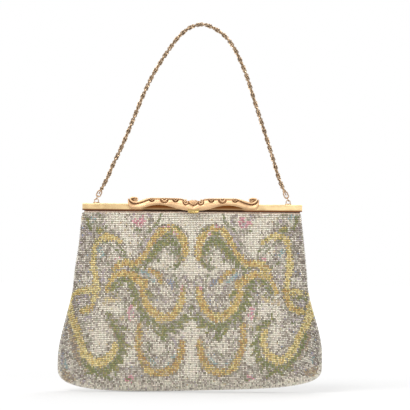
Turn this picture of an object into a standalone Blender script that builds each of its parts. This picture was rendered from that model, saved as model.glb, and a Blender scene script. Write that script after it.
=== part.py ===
"""Beaded evening handbag: a hinged gilt frame with a lift clasp, a soft beaded pouch with a
satin lining, and a rope-chain handle that the bag hangs from.

Metres, +Z up, -Y is the front. The origin is the underside of the chain at its highest point,
where a hook or a hand holds it. Each piece is drawn in bag coordinates, whose zero is the
middle of the frame bar's top on the parting plane between the two frame halves, and "drop"
is a distance down from there.
"""

import math

import bmesh
import bpy
from mathutils import Matrix, Vector

# Where the bag hangs from the handle
HANDLE_DROP = 0.162
APEX_OFFSET = 0.0078
EYE_INSET = 0.0125
EYE_SETBACK = 0.0022

# Gaps and helpers
MESH_GAP = 0.0003
CUT_OVERRUN = 0.002

# Frame bars, arms and their rivets
FRAME_WIDTH = 0.200
BAR_HEIGHT = 0.0065
BAR_DEPTH = 0.0065
BAR_WALL = 0.0008
BAR_EDGE_RADIUS = 0.0012
PARTING_GAP = 0.0004
HINGE_DROP = 0.066
ARM_SPREAD = 0.0055
ARM_THICKNESS = 0.0012
ARM_DEPTH = 0.0030
LUG_RADIUS = 0.0032
RIVET_RADIUS = 0.0011
RIVET_HEAD_RADIUS = 0.0020
RIVET_HEAD_HEIGHT = 0.0006
OPEN_ANGLE = math.radians(30)

# Pouch outline and fullness
POUCH_WIDTH = 0.239
POUCH_DROP = 0.1675
WIDEST_DROP = 0.140
CORNER_DROP = 0.147
CORNER_POWER = 4.5
HINGE_FULLNESS = 0.0080
BELLY_FULLNESS = 0.0150
BELLY_DROP = 0.122
EDGE_FULLNESS = 0.0062
SEAM_FULLNESS = 0.0034
SEAM_RUN = 0.022
DOME_POWER = 2.6
DOME_ROUNDNESS = 0.8
FLOOR_START_SHARE = 0.55

# Cloth layers
BEAD_CLOTH = 0.0018
LINING = 0.0008
TUCK_DROP = 0.0022
POCKET_CLOTH = 0.0006
POCKET_WIDTH = 0.080
POCKET_TOP_DROP = 0.078
POCKET_BOTTOM_DROP = 0.128

# Lift clasp
ORNAMENT_WIDTH = 0.119
ORNAMENT_RISE = 0.0068
ORNAMENT_FALL = 0.0060
ORNAMENT_THICKNESS = 0.0015
ORNAMENT_GAP = 0.0017
LEVER_WIDTH = 0.088
LEVER_THICKNESS = 0.0009
LEVER_LIFT = 0.0018
LEVER_FALL = 0.0012
PIN_RADIUS = 0.0005
BARREL_RADIUS = 0.0013
BARREL_LENGTH = 0.0060
BARREL_INSET = 0.0160
PIN_SETBACK = 0.0018
TAB_WIDTH = 0.0105
TAB_HEIGHT = 0.0040
TAB_FALL = 0.0085
TAB_THICKNESS = 0.0009
TAB_REACH = 0.0018
SPRING_WIDTH = 0.0080
SPRING_THICKNESS = 0.0005
SPRING_STEP = 0.0006
SPRING_REACH = 0.0052
SPRING_RIVET_RADIUS = 0.0009
SPRING_RIVET_HEAD = 0.0005

# Scroll relief on the ornament
SCROLL_RADIUS = 0.0042
SCROLL_WIRE = 0.0007
SCROLL_TURNS = 1.35
SCROLL_START_SHARE = 0.75
SCROLL_CLOSING = 0.8
LEAF_WIRE = 0.0008
LEAF_WAVES = 4
LEAF_LEVEL_SHARE = 0.45
LEAF_SWAY_SHARE = 0.12
SHELL_RADIUS = 0.0040
SHELL_DEPTH = 0.0016
SHELL_RIBS = 5

# Chain and its fittings
ROPE_WIDTH = 0.0038
ROPE_THICKNESS = 0.0024
ROPE_PITCH = 0.0172
ROPE_STEP = 0.0018
EYE_WIDTH = 0.0046
EYE_HEIGHT = 0.0041
EYE_WIRE = 0.00045
RING_RADIUS = 0.0022
RING_WIRE = 0.00040
LINK_LENGTH = 0.0062
LINK_WIDTH = 0.0034
LINK_WIRE = 0.00045
TIP_RADIUS = 0.0013
TIP_WIRE = 0.00040

# The chain's route between its eyes: the share of half the eye spacing sideways, and the
# share of the height from the bar's top to the chain's highest point
CHAIN_ROUTE_SHARES = (
    (-0.883, 0.147), (-0.831, 0.214), (-0.743, 0.314), (-0.639, 0.447), (-0.540, 0.580),
    (-0.447, 0.691), (-0.353, 0.780), (-0.260, 0.857), (-0.156, 0.930), (-0.042, 0.981),
    (0.089, 1.000), (0.208, 0.980), (0.322, 0.938), (0.410, 0.880), (0.478, 0.812),
    (0.556, 0.713), (0.644, 0.569), (0.738, 0.419), (0.821, 0.283), (0.904, 0.142),
)

# The ornament's top and foot from its middle to its end: the share of half its width, and
# the share of its rise above the bar's top or of its fall below it
ORNAMENT_TOP_SHARES = (
    (0.00, 1.00), (0.07, 0.82), (0.13, 0.92), (0.22, 0.78), (0.34, 0.86), (0.46, 0.76),
    (0.58, 0.84), (0.70, 0.80), (0.78, 0.66), (0.86, 0.98), (0.93, 1.00), (0.98, 0.72),
    (1.00, 0.40),
)
ORNAMENT_FOOT_SHARES = (
    (0.00, -1.00), (0.10, -1.00), (0.21, -0.88), (0.31, -0.58), (0.41, -0.18), (0.50, -0.06),
    (0.59, -0.16), (0.68, -0.52), (0.78, -0.88), (0.86, -0.95), (0.93, -0.75), (0.98, -0.40),
    (1.00, -0.05),
)

# Places that follow from the sizes
EYE_SPACING = FRAME_WIDTH - 2 * EYE_INSET
HINGE_WIDTH = FRAME_WIDTH + 2 * ARM_SPREAD
BAR_FRONT = PARTING_GAP / 2 + BAR_DEPTH
BAR_FOOT = BAR_HEIGHT + MESH_GAP
TUCK_FULLNESS = BAR_FRONT - BAR_WALL - MESH_GAP
SKIRT_EDGE = PARTING_GAP / 2 + BAR_WALL + MESH_GAP
LINING_LEVEL = BEAD_CLOTH + MESH_GAP
POCKET_LEVEL = LINING_LEVEL + LINING + 2 * MESH_GAP
RIVET_END = BEAD_CLOTH + MESH_GAP
FRONT_LUG = RIVET_END + RIVET_HEAD_HEIGHT + MESH_GAP
BACK_LUG = FRONT_LUG + ARM_THICKNESS + MESH_GAP
RIVET_INNER = BACK_LUG + ARM_THICKNESS + MESH_GAP + RIVET_HEAD_HEIGHT
LINING_INSET = RIVET_INNER + MESH_GAP - LINING_LEVEL
ARM_EDGE = PARTING_GAP / 2 + MESH_GAP
PIN_HEIGHT = LEVER_LIFT + LEVER_THICKNESS / 2
LEVER_FRONT = BAR_FRONT + ORNAMENT_GAP
ORNAMENT_BACK = LEVER_FRONT + MESH_GAP
ORNAMENT_FRONT = ORNAMENT_BACK + ORNAMENT_THICKNESS
APEX_HEIGHT = HANDLE_DROP + ROPE_WIDTH / 2
BAG_PLACE = Vector((-APEX_OFFSET, -EYE_SETBACK, -HANDLE_DROP))

# How finely the skins and tubes are divided
COLUMNS = 20
UPPER_ROWS = 4
LOWER_ROWS = 10
POCKET_ROWS = 4
TUBE_SIDES = 8
FINE_SIDES = 16
ROPE_SIDES = 8
ORNAMENT_COLUMNS = 140
ORNAMENT_ROWS = 10

FRONT, BACK = -1, 1
LEFT, RIGHT = -1, 1


def clear_scene():
    for obj in list(bpy.data.objects):
        bpy.data.objects.remove(obj)


def material(name, colour, roughness, metallic):
    made = bpy.data.materials.new(name)
    made.use_nodes = True
    shader = made.node_tree.nodes["Principled BSDF"]
    shader.inputs["Base Color"].default_value = (*colour, 1)
    shader.inputs["Roughness"].default_value = roughness
    shader.inputs["Metallic"].default_value = metallic
    return made


def axis(name, place):
    """An empty on a joint's axis, which the pieces that move about it are parented to."""
    empty = bpy.data.objects.new(name, None)
    bpy.context.scene.collection.objects.link(empty)
    empty.location = BAG_PLACE + Vector(place)
    return empty


def piece(name, bm, look, carrier):
    """Puts a bmesh drawn in bag coordinates into the scene as a piece on a carrier."""
    mesh = bpy.data.meshes.new(name)
    bm.to_mesh(mesh)
    bm.free()
    mesh.shade_smooth()
    mesh.set_sharp_from_angle(angle=math.radians(40))
    obj = bpy.data.objects.new(name, mesh)
    bpy.context.scene.collection.objects.link(obj)
    obj.parent = carrier
    obj.location = BAG_PLACE - carrier.location
    if look:
        mesh.materials.append(look)
    return obj


def combine(target, bm, operation):
    """Joins a helper shape to the target, or cuts it away, and hides the helper."""
    helper = piece(target.name + "_helper", bm, None, target.parent)
    helper.hide_render = True
    helper.display_type = "WIRE"
    modifier = target.modifiers.new(operation.title(), "BOOLEAN")
    modifier.operation = operation
    modifier.solver = "EXACT"
    modifier.object = helper


def block(low, high):
    """A box between two corners."""
    bm = bmesh.new()
    bmesh.ops.create_cube(bm, size=1)
    for vert in bm.verts:
        for k in range(3):
            vert.co[k] = high[k] if vert.co[k] > 0 else low[k]
    return bm


def prism(outline, travel):
    """A flat outline pushed along a vector."""
    bm = bmesh.new()
    face = bm.faces.new([bm.verts.new(point) for point in outline])
    pushed = bmesh.ops.extrude_face_region(bm, geom=[face])
    moved = [item for item in pushed["geom"] if isinstance(item, bmesh.types.BMVert)]
    bmesh.ops.translate(bm, verts=moved, vec=travel)
    bmesh.ops.recalc_face_normals(bm, faces=bm.faces)
    return bm


def cross_rod(radius, start, end, y, z, sides=FINE_SIDES):
    """A round rod along X from start to end."""
    circle = []
    for k in range(sides):
        turn = 2 * math.pi * k / sides
        circle.append(Vector((start, y + radius * math.cos(turn), z + radius * math.sin(turn))))
    return prism(circle, Vector((end - start, 0, 0)))


def upright_rod(radius, x, y, low, high, sides=FINE_SIDES):
    """A round rod along Z from low to high."""
    circle = []
    for k in range(sides):
        turn = 2 * math.pi * k / sides
        circle.append(Vector((x + radius * math.cos(turn), y + radius * math.sin(turn), low)))
    return prism(circle, Vector((0, 0, high - low)))


def loft(stations, closed):
    """A skin over rings of points, joined end to end or capped."""
    bm = bmesh.new()
    rings = [[bm.verts.new(point) for point in station] for station in stations]
    sides = len(rings[0])
    pairs = list(zip(rings, rings[1:]))
    if closed:
        pairs.append((rings[-1], rings[0]))
    for first, second in pairs:
        for k in range(sides):
            following = (k + 1) % sides
            bm.faces.new((first[k], first[following], second[following], second[k]))
    if not closed:
        bm.faces.new(rings[0])
        bm.faces.new(rings[-1])
    bmesh.ops.recalc_face_normals(bm, faces=bm.faces)
    return bm


def tube(points, radius, across, closed=False, sides=TUBE_SIDES):
    """A round tube along points; a radius may differ from point to point. Across is a
    direction that the tube's path never runs along."""
    stations = []
    count = len(points)
    for k, point in enumerate(points):
        before = points[(k - 1) % count] if closed or k else points[k]
        after = points[(k + 1) % count] if closed or k < count - 1 else points[k]
        along = (after - before).normalized()
        side = along.cross(across).normalized()
        up = side.cross(along)
        reach = radius[k] if isinstance(radius, (list, tuple)) else radius
        station = []
        for j in range(sides):
            turn = 2 * math.pi * j / sides
            station.append(point + reach * (math.cos(turn) * side + math.sin(turn) * up))
        stations.append(station)
    return loft(stations, closed)


def smooth_route(points, step):
    """Points about a step apart on a smooth curve through the given points."""
    ends = [2 * points[0] - points[1], *points, 2 * points[-1] - points[-2]]
    fine = []
    parts = 12
    for k in range(1, len(ends) - 2):
        a, b, c, d = ends[k - 1:k + 3]
        for j in range(parts):
            t = j / parts
            curve = 2 * b + (c - a) * t + (2 * a - 5 * b + 4 * c - d) * t * t
            curve += (3 * b - a - 3 * c + d) * t * t * t
            fine.append(curve / 2)
    fine.append(points[-1].copy())
    lengths = [0]
    for first, second in zip(fine, fine[1:]):
        lengths.append(lengths[-1] + (second - first).length)
    count = max(2, round(lengths[-1] / step))
    even = []
    k = 0
    for j in range(count + 1):
        wanted = lengths[-1] * j / count
        while k < len(fine) - 2 and lengths[k + 1] < wanted:
            k += 1
        share = (wanted - lengths[k]) / (lengths[k + 1] - lengths[k])
        even.append(fine[k].lerp(fine[k + 1], min(max(share, 0), 1)))
    return even


# The pouch: its width and fullness at any drop below the bar's top


def ease(share):
    share = min(max(share, 0), 1)
    return share * share * (3 - 2 * share)


def blend_between(first, second, share):
    return first + (second - first) * share


def half_width(drop):
    tucked = FRAME_WIDTH / 2 - BAR_WALL - MESH_GAP
    if drop <= BAR_FOOT:
        return tucked
    if drop <= HINGE_DROP:
        return blend_between(tucked, HINGE_WIDTH / 2, (drop - BAR_FOOT) / (HINGE_DROP - BAR_FOOT))
    share = (drop - HINGE_DROP) / (WIDEST_DROP - HINGE_DROP)
    return blend_between(HINGE_WIDTH / 2, POUCH_WIDTH / 2, ease(share))


def foot_drop(across):
    """The pouch's lower edge, with its rounded corners; across runs from -1 to 1."""
    rounding = max(0, 1 - abs(across) ** CORNER_POWER) ** (1 / CORNER_POWER)
    return blend_between(CORNER_DROP, POUCH_DROP, rounding)


def edge_fullness(drop):
    if drop <= BAR_FOOT:
        return TUCK_FULLNESS
    if drop <= HINGE_DROP:
        share = (drop - BAR_FOOT) / (HINGE_DROP - BAR_FOOT)
        return blend_between(TUCK_FULLNESS, EDGE_FULLNESS, share)
    return blend_between(EDGE_FULLNESS, SEAM_FULLNESS, ease((drop - HINGE_DROP) / SEAM_RUN))


def middle_fullness(drop):
    if drop <= BAR_FOOT:
        return TUCK_FULLNESS
    if drop <= HINGE_DROP:
        share = (drop - BAR_FOOT) / (HINGE_DROP - BAR_FOOT)
        return blend_between(TUCK_FULLNESS, HINGE_FULLNESS, share)
    share = (drop - HINGE_DROP) / (BELLY_DROP - HINGE_DROP)
    return blend_between(HINGE_FULLNESS, BELLY_FULLNESS, ease(share))


def fullness(across, drop, lift=0):
    """How far the pouch's outside stands from the parting plane, or that of a pouch whose
    foot is lifted."""
    across = min(abs(across), 1)
    dome = (1 - across ** DOME_POWER) ** DOME_ROUNDNESS
    foot = foot_drop(across) - lift
    start = blend_between(HINGE_DROP, foot, FLOOR_START_SHARE)
    floor = 1
    if drop > start:
        floor = math.sqrt(max(0, 1 - ((drop - start) / (foot - start)) ** 2))
    edge = edge_fullness(drop)
    return edge + (middle_fullness(drop) - edge) * dome * floor


def hinge_slot(across):
    """Half the slot across the pouch at the hinges, which lets the upper cloth tip outwards."""
    reach = fullness(across, HINGE_DROP)
    return (reach * math.sin(OPEN_ANGLE) + MESH_GAP) / (1 + math.cos(OPEN_ANGLE))


def skin(bm, side, levels, inset, width, edge, hems, sink):
    """An open skin on one side of the bag, sunk under the pouch's outside, with hems that
    run back to the given edge along its sides and its foot.

    levels gives the drops of its rows at each place across, inset draws it in from the
    pouch's outline, and width, if it isn't zero, cuts it to a strip of that width.
    """
    grid = []
    rows = len(levels(0, sink)) - 1
    for j in range(rows + 1):
        row = []
        for i in range(COLUMNS + 1):
            across = math.sin(math.pi / 2 * (2 * i / COLUMNS - 1))
            drop = levels(across, sink)[j]
            half = half_width(drop)
            x = across * (width / 2 if width else half - inset - sink)
            place = x / half if width else across
            y = fullness(place, drop, inset + sink) - sink
            row.append(bm.verts.new((x, side * y, -drop)))
        grid.append(row)
    faces = []
    for j in range(rows):
        for i in range(COLUMNS):
            faces.append((grid[j][i], grid[j + 1][i], grid[j + 1][i + 1], grid[j][i + 1]))
    left = [row[0] for row in grid]
    right = [row[COLUMNS] for row in reversed(grid)]
    loops = []
    if hems == "sides":
        loops = [left, right]
    if hems == "sides and foot":
        loops = [left + grid[rows][1:COLUMNS] + right]
    for loop in loops:
        hem = [bm.verts.new((vert.co.x, side * edge, vert.co.z)) for vert in loop]
        for k in range(len(loop) - 1):
            faces.append((loop[k], hem[k], hem[k + 1], loop[k + 1]))
    return [bm.faces.new(face) for face in faces]


def cloth(name, shape, level, thickness, look, carrier):
    """A cloth between two skins, with its border closed."""
    bm = bmesh.new()
    skin(bm, *shape, level)
    outer_count = len(bm.verts)
    bm.verts.index_update()
    border = [[vert.index for vert in edge.verts] for edge in bm.edges if edge.is_boundary]
    skin(bm, *shape, level + thickness)
    bm.verts.ensure_lookup_table()
    for first, second in border:
        face = (first, second, second + outer_count, first + outer_count)
        bm.faces.new([bm.verts[index] for index in face])
    bmesh.ops.recalc_face_normals(bm, faces=bm.faces)
    piece(name, bm, look, carrier)


def even_levels(top, foot, rows):
    return [blend_between(top, foot, j / rows) for j in range(rows + 1)]


def upper_levels(across, sink):
    """Rows from the tuck inside the bar, past the bar's foot, to the slot at the hinges."""
    return [TUCK_DROP, *even_levels(BAR_FOOT, HINGE_DROP - hinge_slot(across), UPPER_ROWS)]


def lower_levels(across, sink):
    foot = foot_drop(across) - sink
    return even_levels(HINGE_DROP + hinge_slot(across), foot, LOWER_ROWS)


def lining_levels(across, sink):
    foot = foot_drop(across) - LINING_INSET - sink
    return even_levels(HINGE_DROP + hinge_slot(across), foot, LOWER_ROWS)


def pocket_levels(across, sink):
    return even_levels(POCKET_TOP_DROP, POCKET_BOTTOM_DROP, POCKET_ROWS)


def make_upper_cloth(side, word, beads, satin, carrier):
    outer = (side, upper_levels, 0, 0, SKIRT_EDGE, "sides")
    cloth(f"beaded_{word}_upper", outer, 0, BEAD_CLOTH, beads, carrier)
    inner = (side, upper_levels, LINING_INSET, 0, SKIRT_EDGE, "sides")
    cloth(f"lining_{word}_upper", inner, LINING_LEVEL, LINING, satin, carrier)


def make_lower_cloth(side, word, beads, satin, carrier):
    edge = PARTING_GAP / 2
    outer = (side, lower_levels, 0, 0, edge, "sides and foot")
    cloth(f"beaded_{word}_lower", outer, 0, BEAD_CLOTH, beads, carrier)
    inner = (side, lining_levels, LINING_INSET, 0, edge, "sides and foot")
    cloth(f"lining_{word}_lower", inner, LINING_LEVEL, LINING, satin, carrier)


def make_pocket(satin, carrier):
    """A slip pocket's front, sewn to the back lining round its sides and foot."""
    flat = (BACK, pocket_levels, 0, POCKET_WIDTH, PARTING_GAP, "none")
    cloth("slip_pocket", flat, POCKET_LEVEL, POCKET_CLOTH, satin, carrier)


# The frame


def bar_outline(x, side):
    """The bar's outside in section, with its two top edges rounded."""
    near = side * PARTING_GAP / 2
    far = side * BAR_FRONT
    outline = [Vector((x, near, -BAR_HEIGHT)), Vector((x, far, -BAR_HEIGHT))]
    steps = 4
    for centre_y, start in ((far - side * BAR_EDGE_RADIUS, 0), (near + side * BAR_EDGE_RADIUS, 1)):
        for k in range(steps + 1):
            turn = math.pi / 2 * (start + k / steps)
            y = centre_y + side * BAR_EDGE_RADIUS * math.cos(turn)
            z = BAR_EDGE_RADIUS * math.sin(turn) - BAR_EDGE_RADIUS
            outline.append(Vector((x, y, z)))
    return outline


def arm_outline(hand, inset, y):
    """A frame arm seen from the front, from inside the bar down to its lug. It runs upright
    beside the other half's lug."""
    top = (BAR_WALL / 2, half_width(BAR_WALL / 2) - inset)
    shoulder = (BAR_FOOT, half_width(BAR_FOOT) - inset)
    straight = (HINGE_DROP - LUG_RADIUS - MESH_GAP, HINGE_WIDTH / 2 - inset)
    foot = (HINGE_DROP, HINGE_WIDTH / 2 - inset)
    outer = [top, shoulder, straight, foot]
    inner = [(drop, reach - ARM_THICKNESS) for drop, reach in reversed(outer)]
    return [Vector((hand * reach, y, -drop)) for drop, reach in outer + inner]


def make_frame_half(name, side, inset, look, carrier):
    """One half of the frame: the channel bar, two arms and their lugs."""
    end = FRAME_WIDTH / 2
    frame = piece(
        name, prism(bar_outline(-end, side), Vector((FRAME_WIDTH, 0, 0))), look, carrier
    )
    inner = sorted((side * (PARTING_GAP / 2 + BAR_WALL), side * (BAR_FRONT - BAR_WALL)))
    low = (-end + BAR_WALL, inner[0], -BAR_HEIGHT - CUT_OVERRUN)
    high = (end - BAR_WALL, inner[1], -BAR_WALL)
    combine(frame, block(low, high), "DIFFERENCE")
    for hand in (LEFT, RIGHT):
        arm = prism(arm_outline(hand, inset, side * ARM_EDGE), Vector((0, side * ARM_DEPTH, 0)))
        combine(frame, arm, "UNION")
        outer = hand * (HINGE_WIDTH / 2 - inset)
        inner_face = outer - hand * ARM_THICKNESS
        lug = cross_rod(LUG_RADIUS, outer, inner_face, 0, -HINGE_DROP)
        combine(frame, lug, "UNION")
        start = outer + hand * CUT_OVERRUN
        stop = inner_face - hand * CUT_OVERRUN
        hole = cross_rod(RIVET_RADIUS + MESH_GAP, start, stop, 0, -HINGE_DROP)
        combine(frame, hole, "DIFFERENCE")
    return frame


def make_frame_rivet(hand, word, look, carrier):
    """The headed rivet that a pair of lugs turns on."""
    side = hand * HINGE_WIDTH / 2
    start = side - hand * RIVET_END
    stop = side - hand * RIVET_INNER
    rivet = piece(
        f"frame_rivet_{word}", cross_rod(RIVET_RADIUS, start, stop, 0, -HINGE_DROP), look, carrier
    )
    for edge, inward in ((start, -hand), (stop, hand)):
        head = cross_rod(
            RIVET_HEAD_RADIUS, edge, edge + inward * RIVET_HEAD_HEIGHT, 0, -HINGE_DROP
        )
        combine(rivet, head, "UNION")


# The lift clasp


def barrel_places():
    """Both hands' barrels along X: the lever's, then the frame's beside it."""
    step = BARREL_LENGTH + MESH_GAP
    inner = LEVER_WIDTH / 2 - BARREL_INSET
    return inner, inner + step


def add_frame_barrels(frame):
    """Two barrels on feet, on top of the front bar, that the clasp's pins run in."""
    _, start = barrel_places()
    for hand in (LEFT, RIGHT):
        near = hand * start
        far = hand * (start + BARREL_LENGTH)
        barrel = cross_rod(BARREL_RADIUS, near, far, -PIN_SETBACK, PIN_HEIGHT)
        combine(frame, barrel, "UNION")
        low = (min(near, far), -PIN_SETBACK - PIN_RADIUS, -BAR_WALL / 2)
        high = (max(near, far), -PIN_SETBACK + PIN_RADIUS, PIN_HEIGHT - PIN_RADIUS)
        combine(frame, block(low, high), "UNION")
        start_cut, stop_cut = near - hand * CUT_OVERRUN, far + hand * CUT_OVERRUN
        bore = cross_rod(PIN_RADIUS + MESH_GAP, start_cut, stop_cut, -PIN_SETBACK, PIN_HEIGHT)
        combine(frame, bore, "DIFFERENCE")


def make_lever(look, carrier):
    """The clasp's lever: a flange over the front bar and a web down its front."""
    half = LEVER_WIDTH / 2
    flange = block(
        (-half, -LEVER_FRONT, LEVER_LIFT),
        (half, -PIN_SETBACK - BARREL_RADIUS / 2, LEVER_LIFT + LEVER_THICKNESS),
    )
    lever = piece("clasp_lever", flange, look, carrier)
    web = block(
        (-half, -LEVER_FRONT, -LEVER_FALL),
        (half, -LEVER_FRONT + LEVER_THICKNESS, LEVER_LIFT + LEVER_THICKNESS / 2),
    )
    combine(lever, web, "UNION")
    start, frame_start = barrel_places()
    for hand in (LEFT, RIGHT):
        near, far = hand * start, hand * (start + BARREL_LENGTH)
        barrel = cross_rod(BARREL_RADIUS, near, far, -PIN_SETBACK, PIN_HEIGHT)
        combine(lever, barrel, "UNION")
        bore = cross_rod(
            PIN_RADIUS + MESH_GAP,
            near - hand * CUT_OVERRUN,
            far + hand * CUT_OVERRUN,
            -PIN_SETBACK,
            PIN_HEIGHT,
        )
        combine(lever, bore, "DIFFERENCE")
        room_near = hand * (frame_start - MESH_GAP)
        room_far = hand * (frame_start + BARREL_LENGTH + MESH_GAP)
        room = block(
            (min(room_near, room_far), -PIN_SETBACK - BARREL_RADIUS - MESH_GAP, -CUT_OVERRUN),
            (max(room_near, room_far), 0, PIN_HEIGHT + BARREL_RADIUS + CUT_OVERRUN),
        )
        combine(lever, room, "DIFFERENCE")


def make_clasp_pin(hand, word, look, carrier):
    start, frame_start = barrel_places()
    stop = frame_start + BARREL_LENGTH
    pin = cross_rod(PIN_RADIUS, hand * start, hand * stop, -PIN_SETBACK, PIN_HEIGHT, TUBE_SIDES)
    piece(f"clasp_pin_{word}", pin, look, carrier)


def share_height(shares, reach, scale):
    """The height that a table of reaches and levels gives at a reach."""
    for (start, low), (stop, high) in zip(shares, shares[1:]):
        if reach <= stop:
            return scale * blend_between(low, high, (reach - start) / (stop - start))
    return scale * shares[-1][1]


def wire_height(distance, wire):
    """How high a half-sunk round wire stands at a distance from its middle."""
    return math.sqrt(max(0, wire * wire - distance * distance))


def scroll_relief(x, z):
    """An end scroll: a tapering wire wound inwards."""
    x -= ORNAMENT_WIDTH / 2 - SCROLL_RADIUS
    z -= ORNAMENT_RISE - SCROLL_RADIUS
    away = math.hypot(x, z)
    found = 0
    for lap in range(3):
        share = (math.atan2(z, x) / math.pi + SCROLL_START_SHARE + 2 * lap) / (2 * SCROLL_TURNS)
        if 0 <= share <= 1:
            reach = (SCROLL_RADIUS - SCROLL_WIRE) * (1 - SCROLL_CLOSING * share)
            found = max(found, wire_height(away - reach, SCROLL_WIRE * (1 - share / 3)))
    return found


def leaf_relief(x, z):
    """The raised, waving border from an end scroll to the shell."""
    inner = SHELL_RADIUS
    outer = ORNAMENT_WIDTH / 2 - 2 * SCROLL_RADIUS
    share = (x - inner) / (outer - inner)
    if not 0 <= share <= 1:
        return 0
    wave = math.sin(2 * math.pi * LEAF_WAVES * share)
    level = ORNAMENT_RISE * (LEAF_LEVEL_SHARE + LEAF_SWAY_SHARE * wave)
    return wire_height(z - level, LEAF_WIRE)


def shell_relief(x, z):
    """The middle shell: a ribbed fan."""
    z -= ORNAMENT_RISE - SHELL_RADIUS
    away = math.hypot(x, z) / SHELL_RADIUS
    if away >= 1:
        return 0
    rib = math.cos(2 * SHELL_RIBS * math.atan2(x, z + SHELL_RADIUS))
    return SHELL_DEPTH * math.sqrt(1 - away * away) * (1 + rib / 4)


def make_ornament(look, carrier):
    """The cast front of the clasp, with its end scrolls, leaf borders and middle shell."""
    stations = []
    for k in range(ORNAMENT_COLUMNS + 1):
        reach = 2 * k / ORNAMENT_COLUMNS - 1
        x = reach * ORNAMENT_WIDTH / 2
        top = share_height(ORNAMENT_TOP_SHARES, abs(reach), ORNAMENT_RISE)
        foot = share_height(ORNAMENT_FOOT_SHARES, abs(reach), ORNAMENT_FALL)
        station = []
        for j in range(ORNAMENT_ROWS + 1):
            z = blend_between(foot, top, j / ORNAMENT_ROWS)
            relief = max(
                scroll_relief(abs(x), z), leaf_relief(abs(x), z), shell_relief(x, z)
            )
            station.append(Vector((x, -ORNAMENT_FRONT - relief, z)))
        station.append(Vector((x, -ORNAMENT_BACK, top)))
        station.append(Vector((x, -ORNAMENT_BACK, foot)))
        stations.append(station)
    piece("clasp_ornament", loft(stations, False), look, carrier)


def make_thumb_tab(look, carrier):
    """The finger tab under the ornament's middle, curled out at its foot."""
    back = -ORNAMENT_FRONT - MESH_GAP
    top = TAB_HEIGHT - TAB_FALL
    outline = [
        (back, top),
        (back - TAB_THICKNESS, top),
        (back - TAB_THICKNESS, -TAB_FALL + TAB_REACH),
        (back - TAB_REACH, -TAB_FALL + TAB_THICKNESS),
        (back - TAB_REACH, -TAB_FALL),
        (back - TAB_THICKNESS, -TAB_FALL),
        (back, -TAB_FALL + TAB_REACH - TAB_THICKNESS),
    ]
    start = -TAB_WIDTH / 2
    points = [Vector((start, y, z)) for y, z in outline]
    tab = piece("thumb_tab", prism(points, Vector((TAB_WIDTH, 0, 0))), look, carrier)
    soften = tab.modifiers.new("Soft edges", "BEVEL")
    soften.width = TAB_THICKNESS / 4
    soften.segments = 2


def make_catch_spring(look, carrier):
    """The leaf spring on the back bar: it steps up over the parting and its nose comes down
    on the front bar, held there by the closed lever."""
    low, high = MESH_GAP, MESH_GAP + SPRING_THICKNESS
    rear = BAR_FRONT - BAR_EDGE_RADIUS
    outline = [
        (rear, low),
        (rear, high),
        (PIN_SETBACK, high),
        (0, high + SPRING_STEP),
        (-SPRING_REACH, high + SPRING_STEP),
        (-SPRING_REACH, low),
        (-SPRING_REACH + SPRING_THICKNESS, low),
        (-SPRING_REACH + SPRING_THICKNESS, low + SPRING_STEP),
        (0, low + SPRING_STEP),
        (PIN_SETBACK, low),
    ]
    points = [Vector((-SPRING_WIDTH / 2, y, z)) for y, z in outline]
    spring = piece("catch_spring", prism(points, Vector((SPRING_WIDTH, 0, 0))), look, carrier)
    place = (rear + PIN_SETBACK) / 2
    hole = upright_rod(SPRING_RIVET_RADIUS + MESH_GAP, 0, place, -CUT_OVERRUN, CUT_OVERRUN)
    combine(spring, hole, "DIFFERENCE")


def spring_rivet_place():
    return (BAR_FRONT - BAR_EDGE_RADIUS + PIN_SETBACK) / 2


def make_catch_rivet(look, carrier):
    """The rivet that holds the spring to the back bar."""
    place = spring_rivet_place()
    top = 2 * MESH_GAP + SPRING_THICKNESS
    shank = upright_rod(SPRING_RIVET_RADIUS, 0, place, -BAR_WALL - MESH_GAP, top)
    rivet = piece("catch_rivet", shank, look, carrier)
    head_radius = SPRING_RIVET_RADIUS + 2 * MESH_GAP
    head = upright_rod(head_radius, 0, place, top, top + SPRING_RIVET_HEAD)
    combine(rivet, head, "UNION")
    low = -BAR_WALL - MESH_GAP - SPRING_RIVET_HEAD
    foot = upright_rod(head_radius, 0, place, low, low + SPRING_RIVET_HEAD)
    combine(rivet, foot, "UNION")


def cut_rivet_hole(frame):
    """The hole in the back bar's top for the catch rivet."""
    radius = SPRING_RIVET_RADIUS + MESH_GAP
    hole = upright_rod(radius, 0, spring_rivet_place(), -BAR_WALL - CUT_OVERRUN, CUT_OVERRUN)
    combine(frame, hole, "DIFFERENCE")


# The chain


def chain_line():
    """The chain's route points from the left eye to the right one."""
    left = Vector((-EYE_SPACING / 2, EYE_SETBACK, EYE_HEIGHT))
    right = Vector((EYE_SPACING / 2, EYE_SETBACK, EYE_HEIGHT))
    route = []
    for reach, level in CHAIN_ROUTE_SHARES:
        x = reach * EYE_SPACING / 2
        if level == 1:
            x = APEX_OFFSET
        route.append(Vector((x, EYE_SETBACK, level * APEX_HEIGHT)))
    return left, route, right


def fitting_places():
    """Distances from an eye's wire along the chain: the ring's centre, the link's two ends
    and the rope tip's centre, each loop hanging in the one before."""
    ring_near = -(EYE_WIRE + RING_WIRE + MESH_GAP)
    ring_centre = ring_near + RING_RADIUS
    link_near = ring_centre + RING_RADIUS - (RING_WIRE + LINK_WIRE + MESH_GAP)
    link_far = link_near + LINK_LENGTH
    tip_centre = link_far - (LINK_WIRE + TIP_WIRE + MESH_GAP) + TIP_RADIUS
    return ring_centre, link_near, link_far, tip_centre


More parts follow.
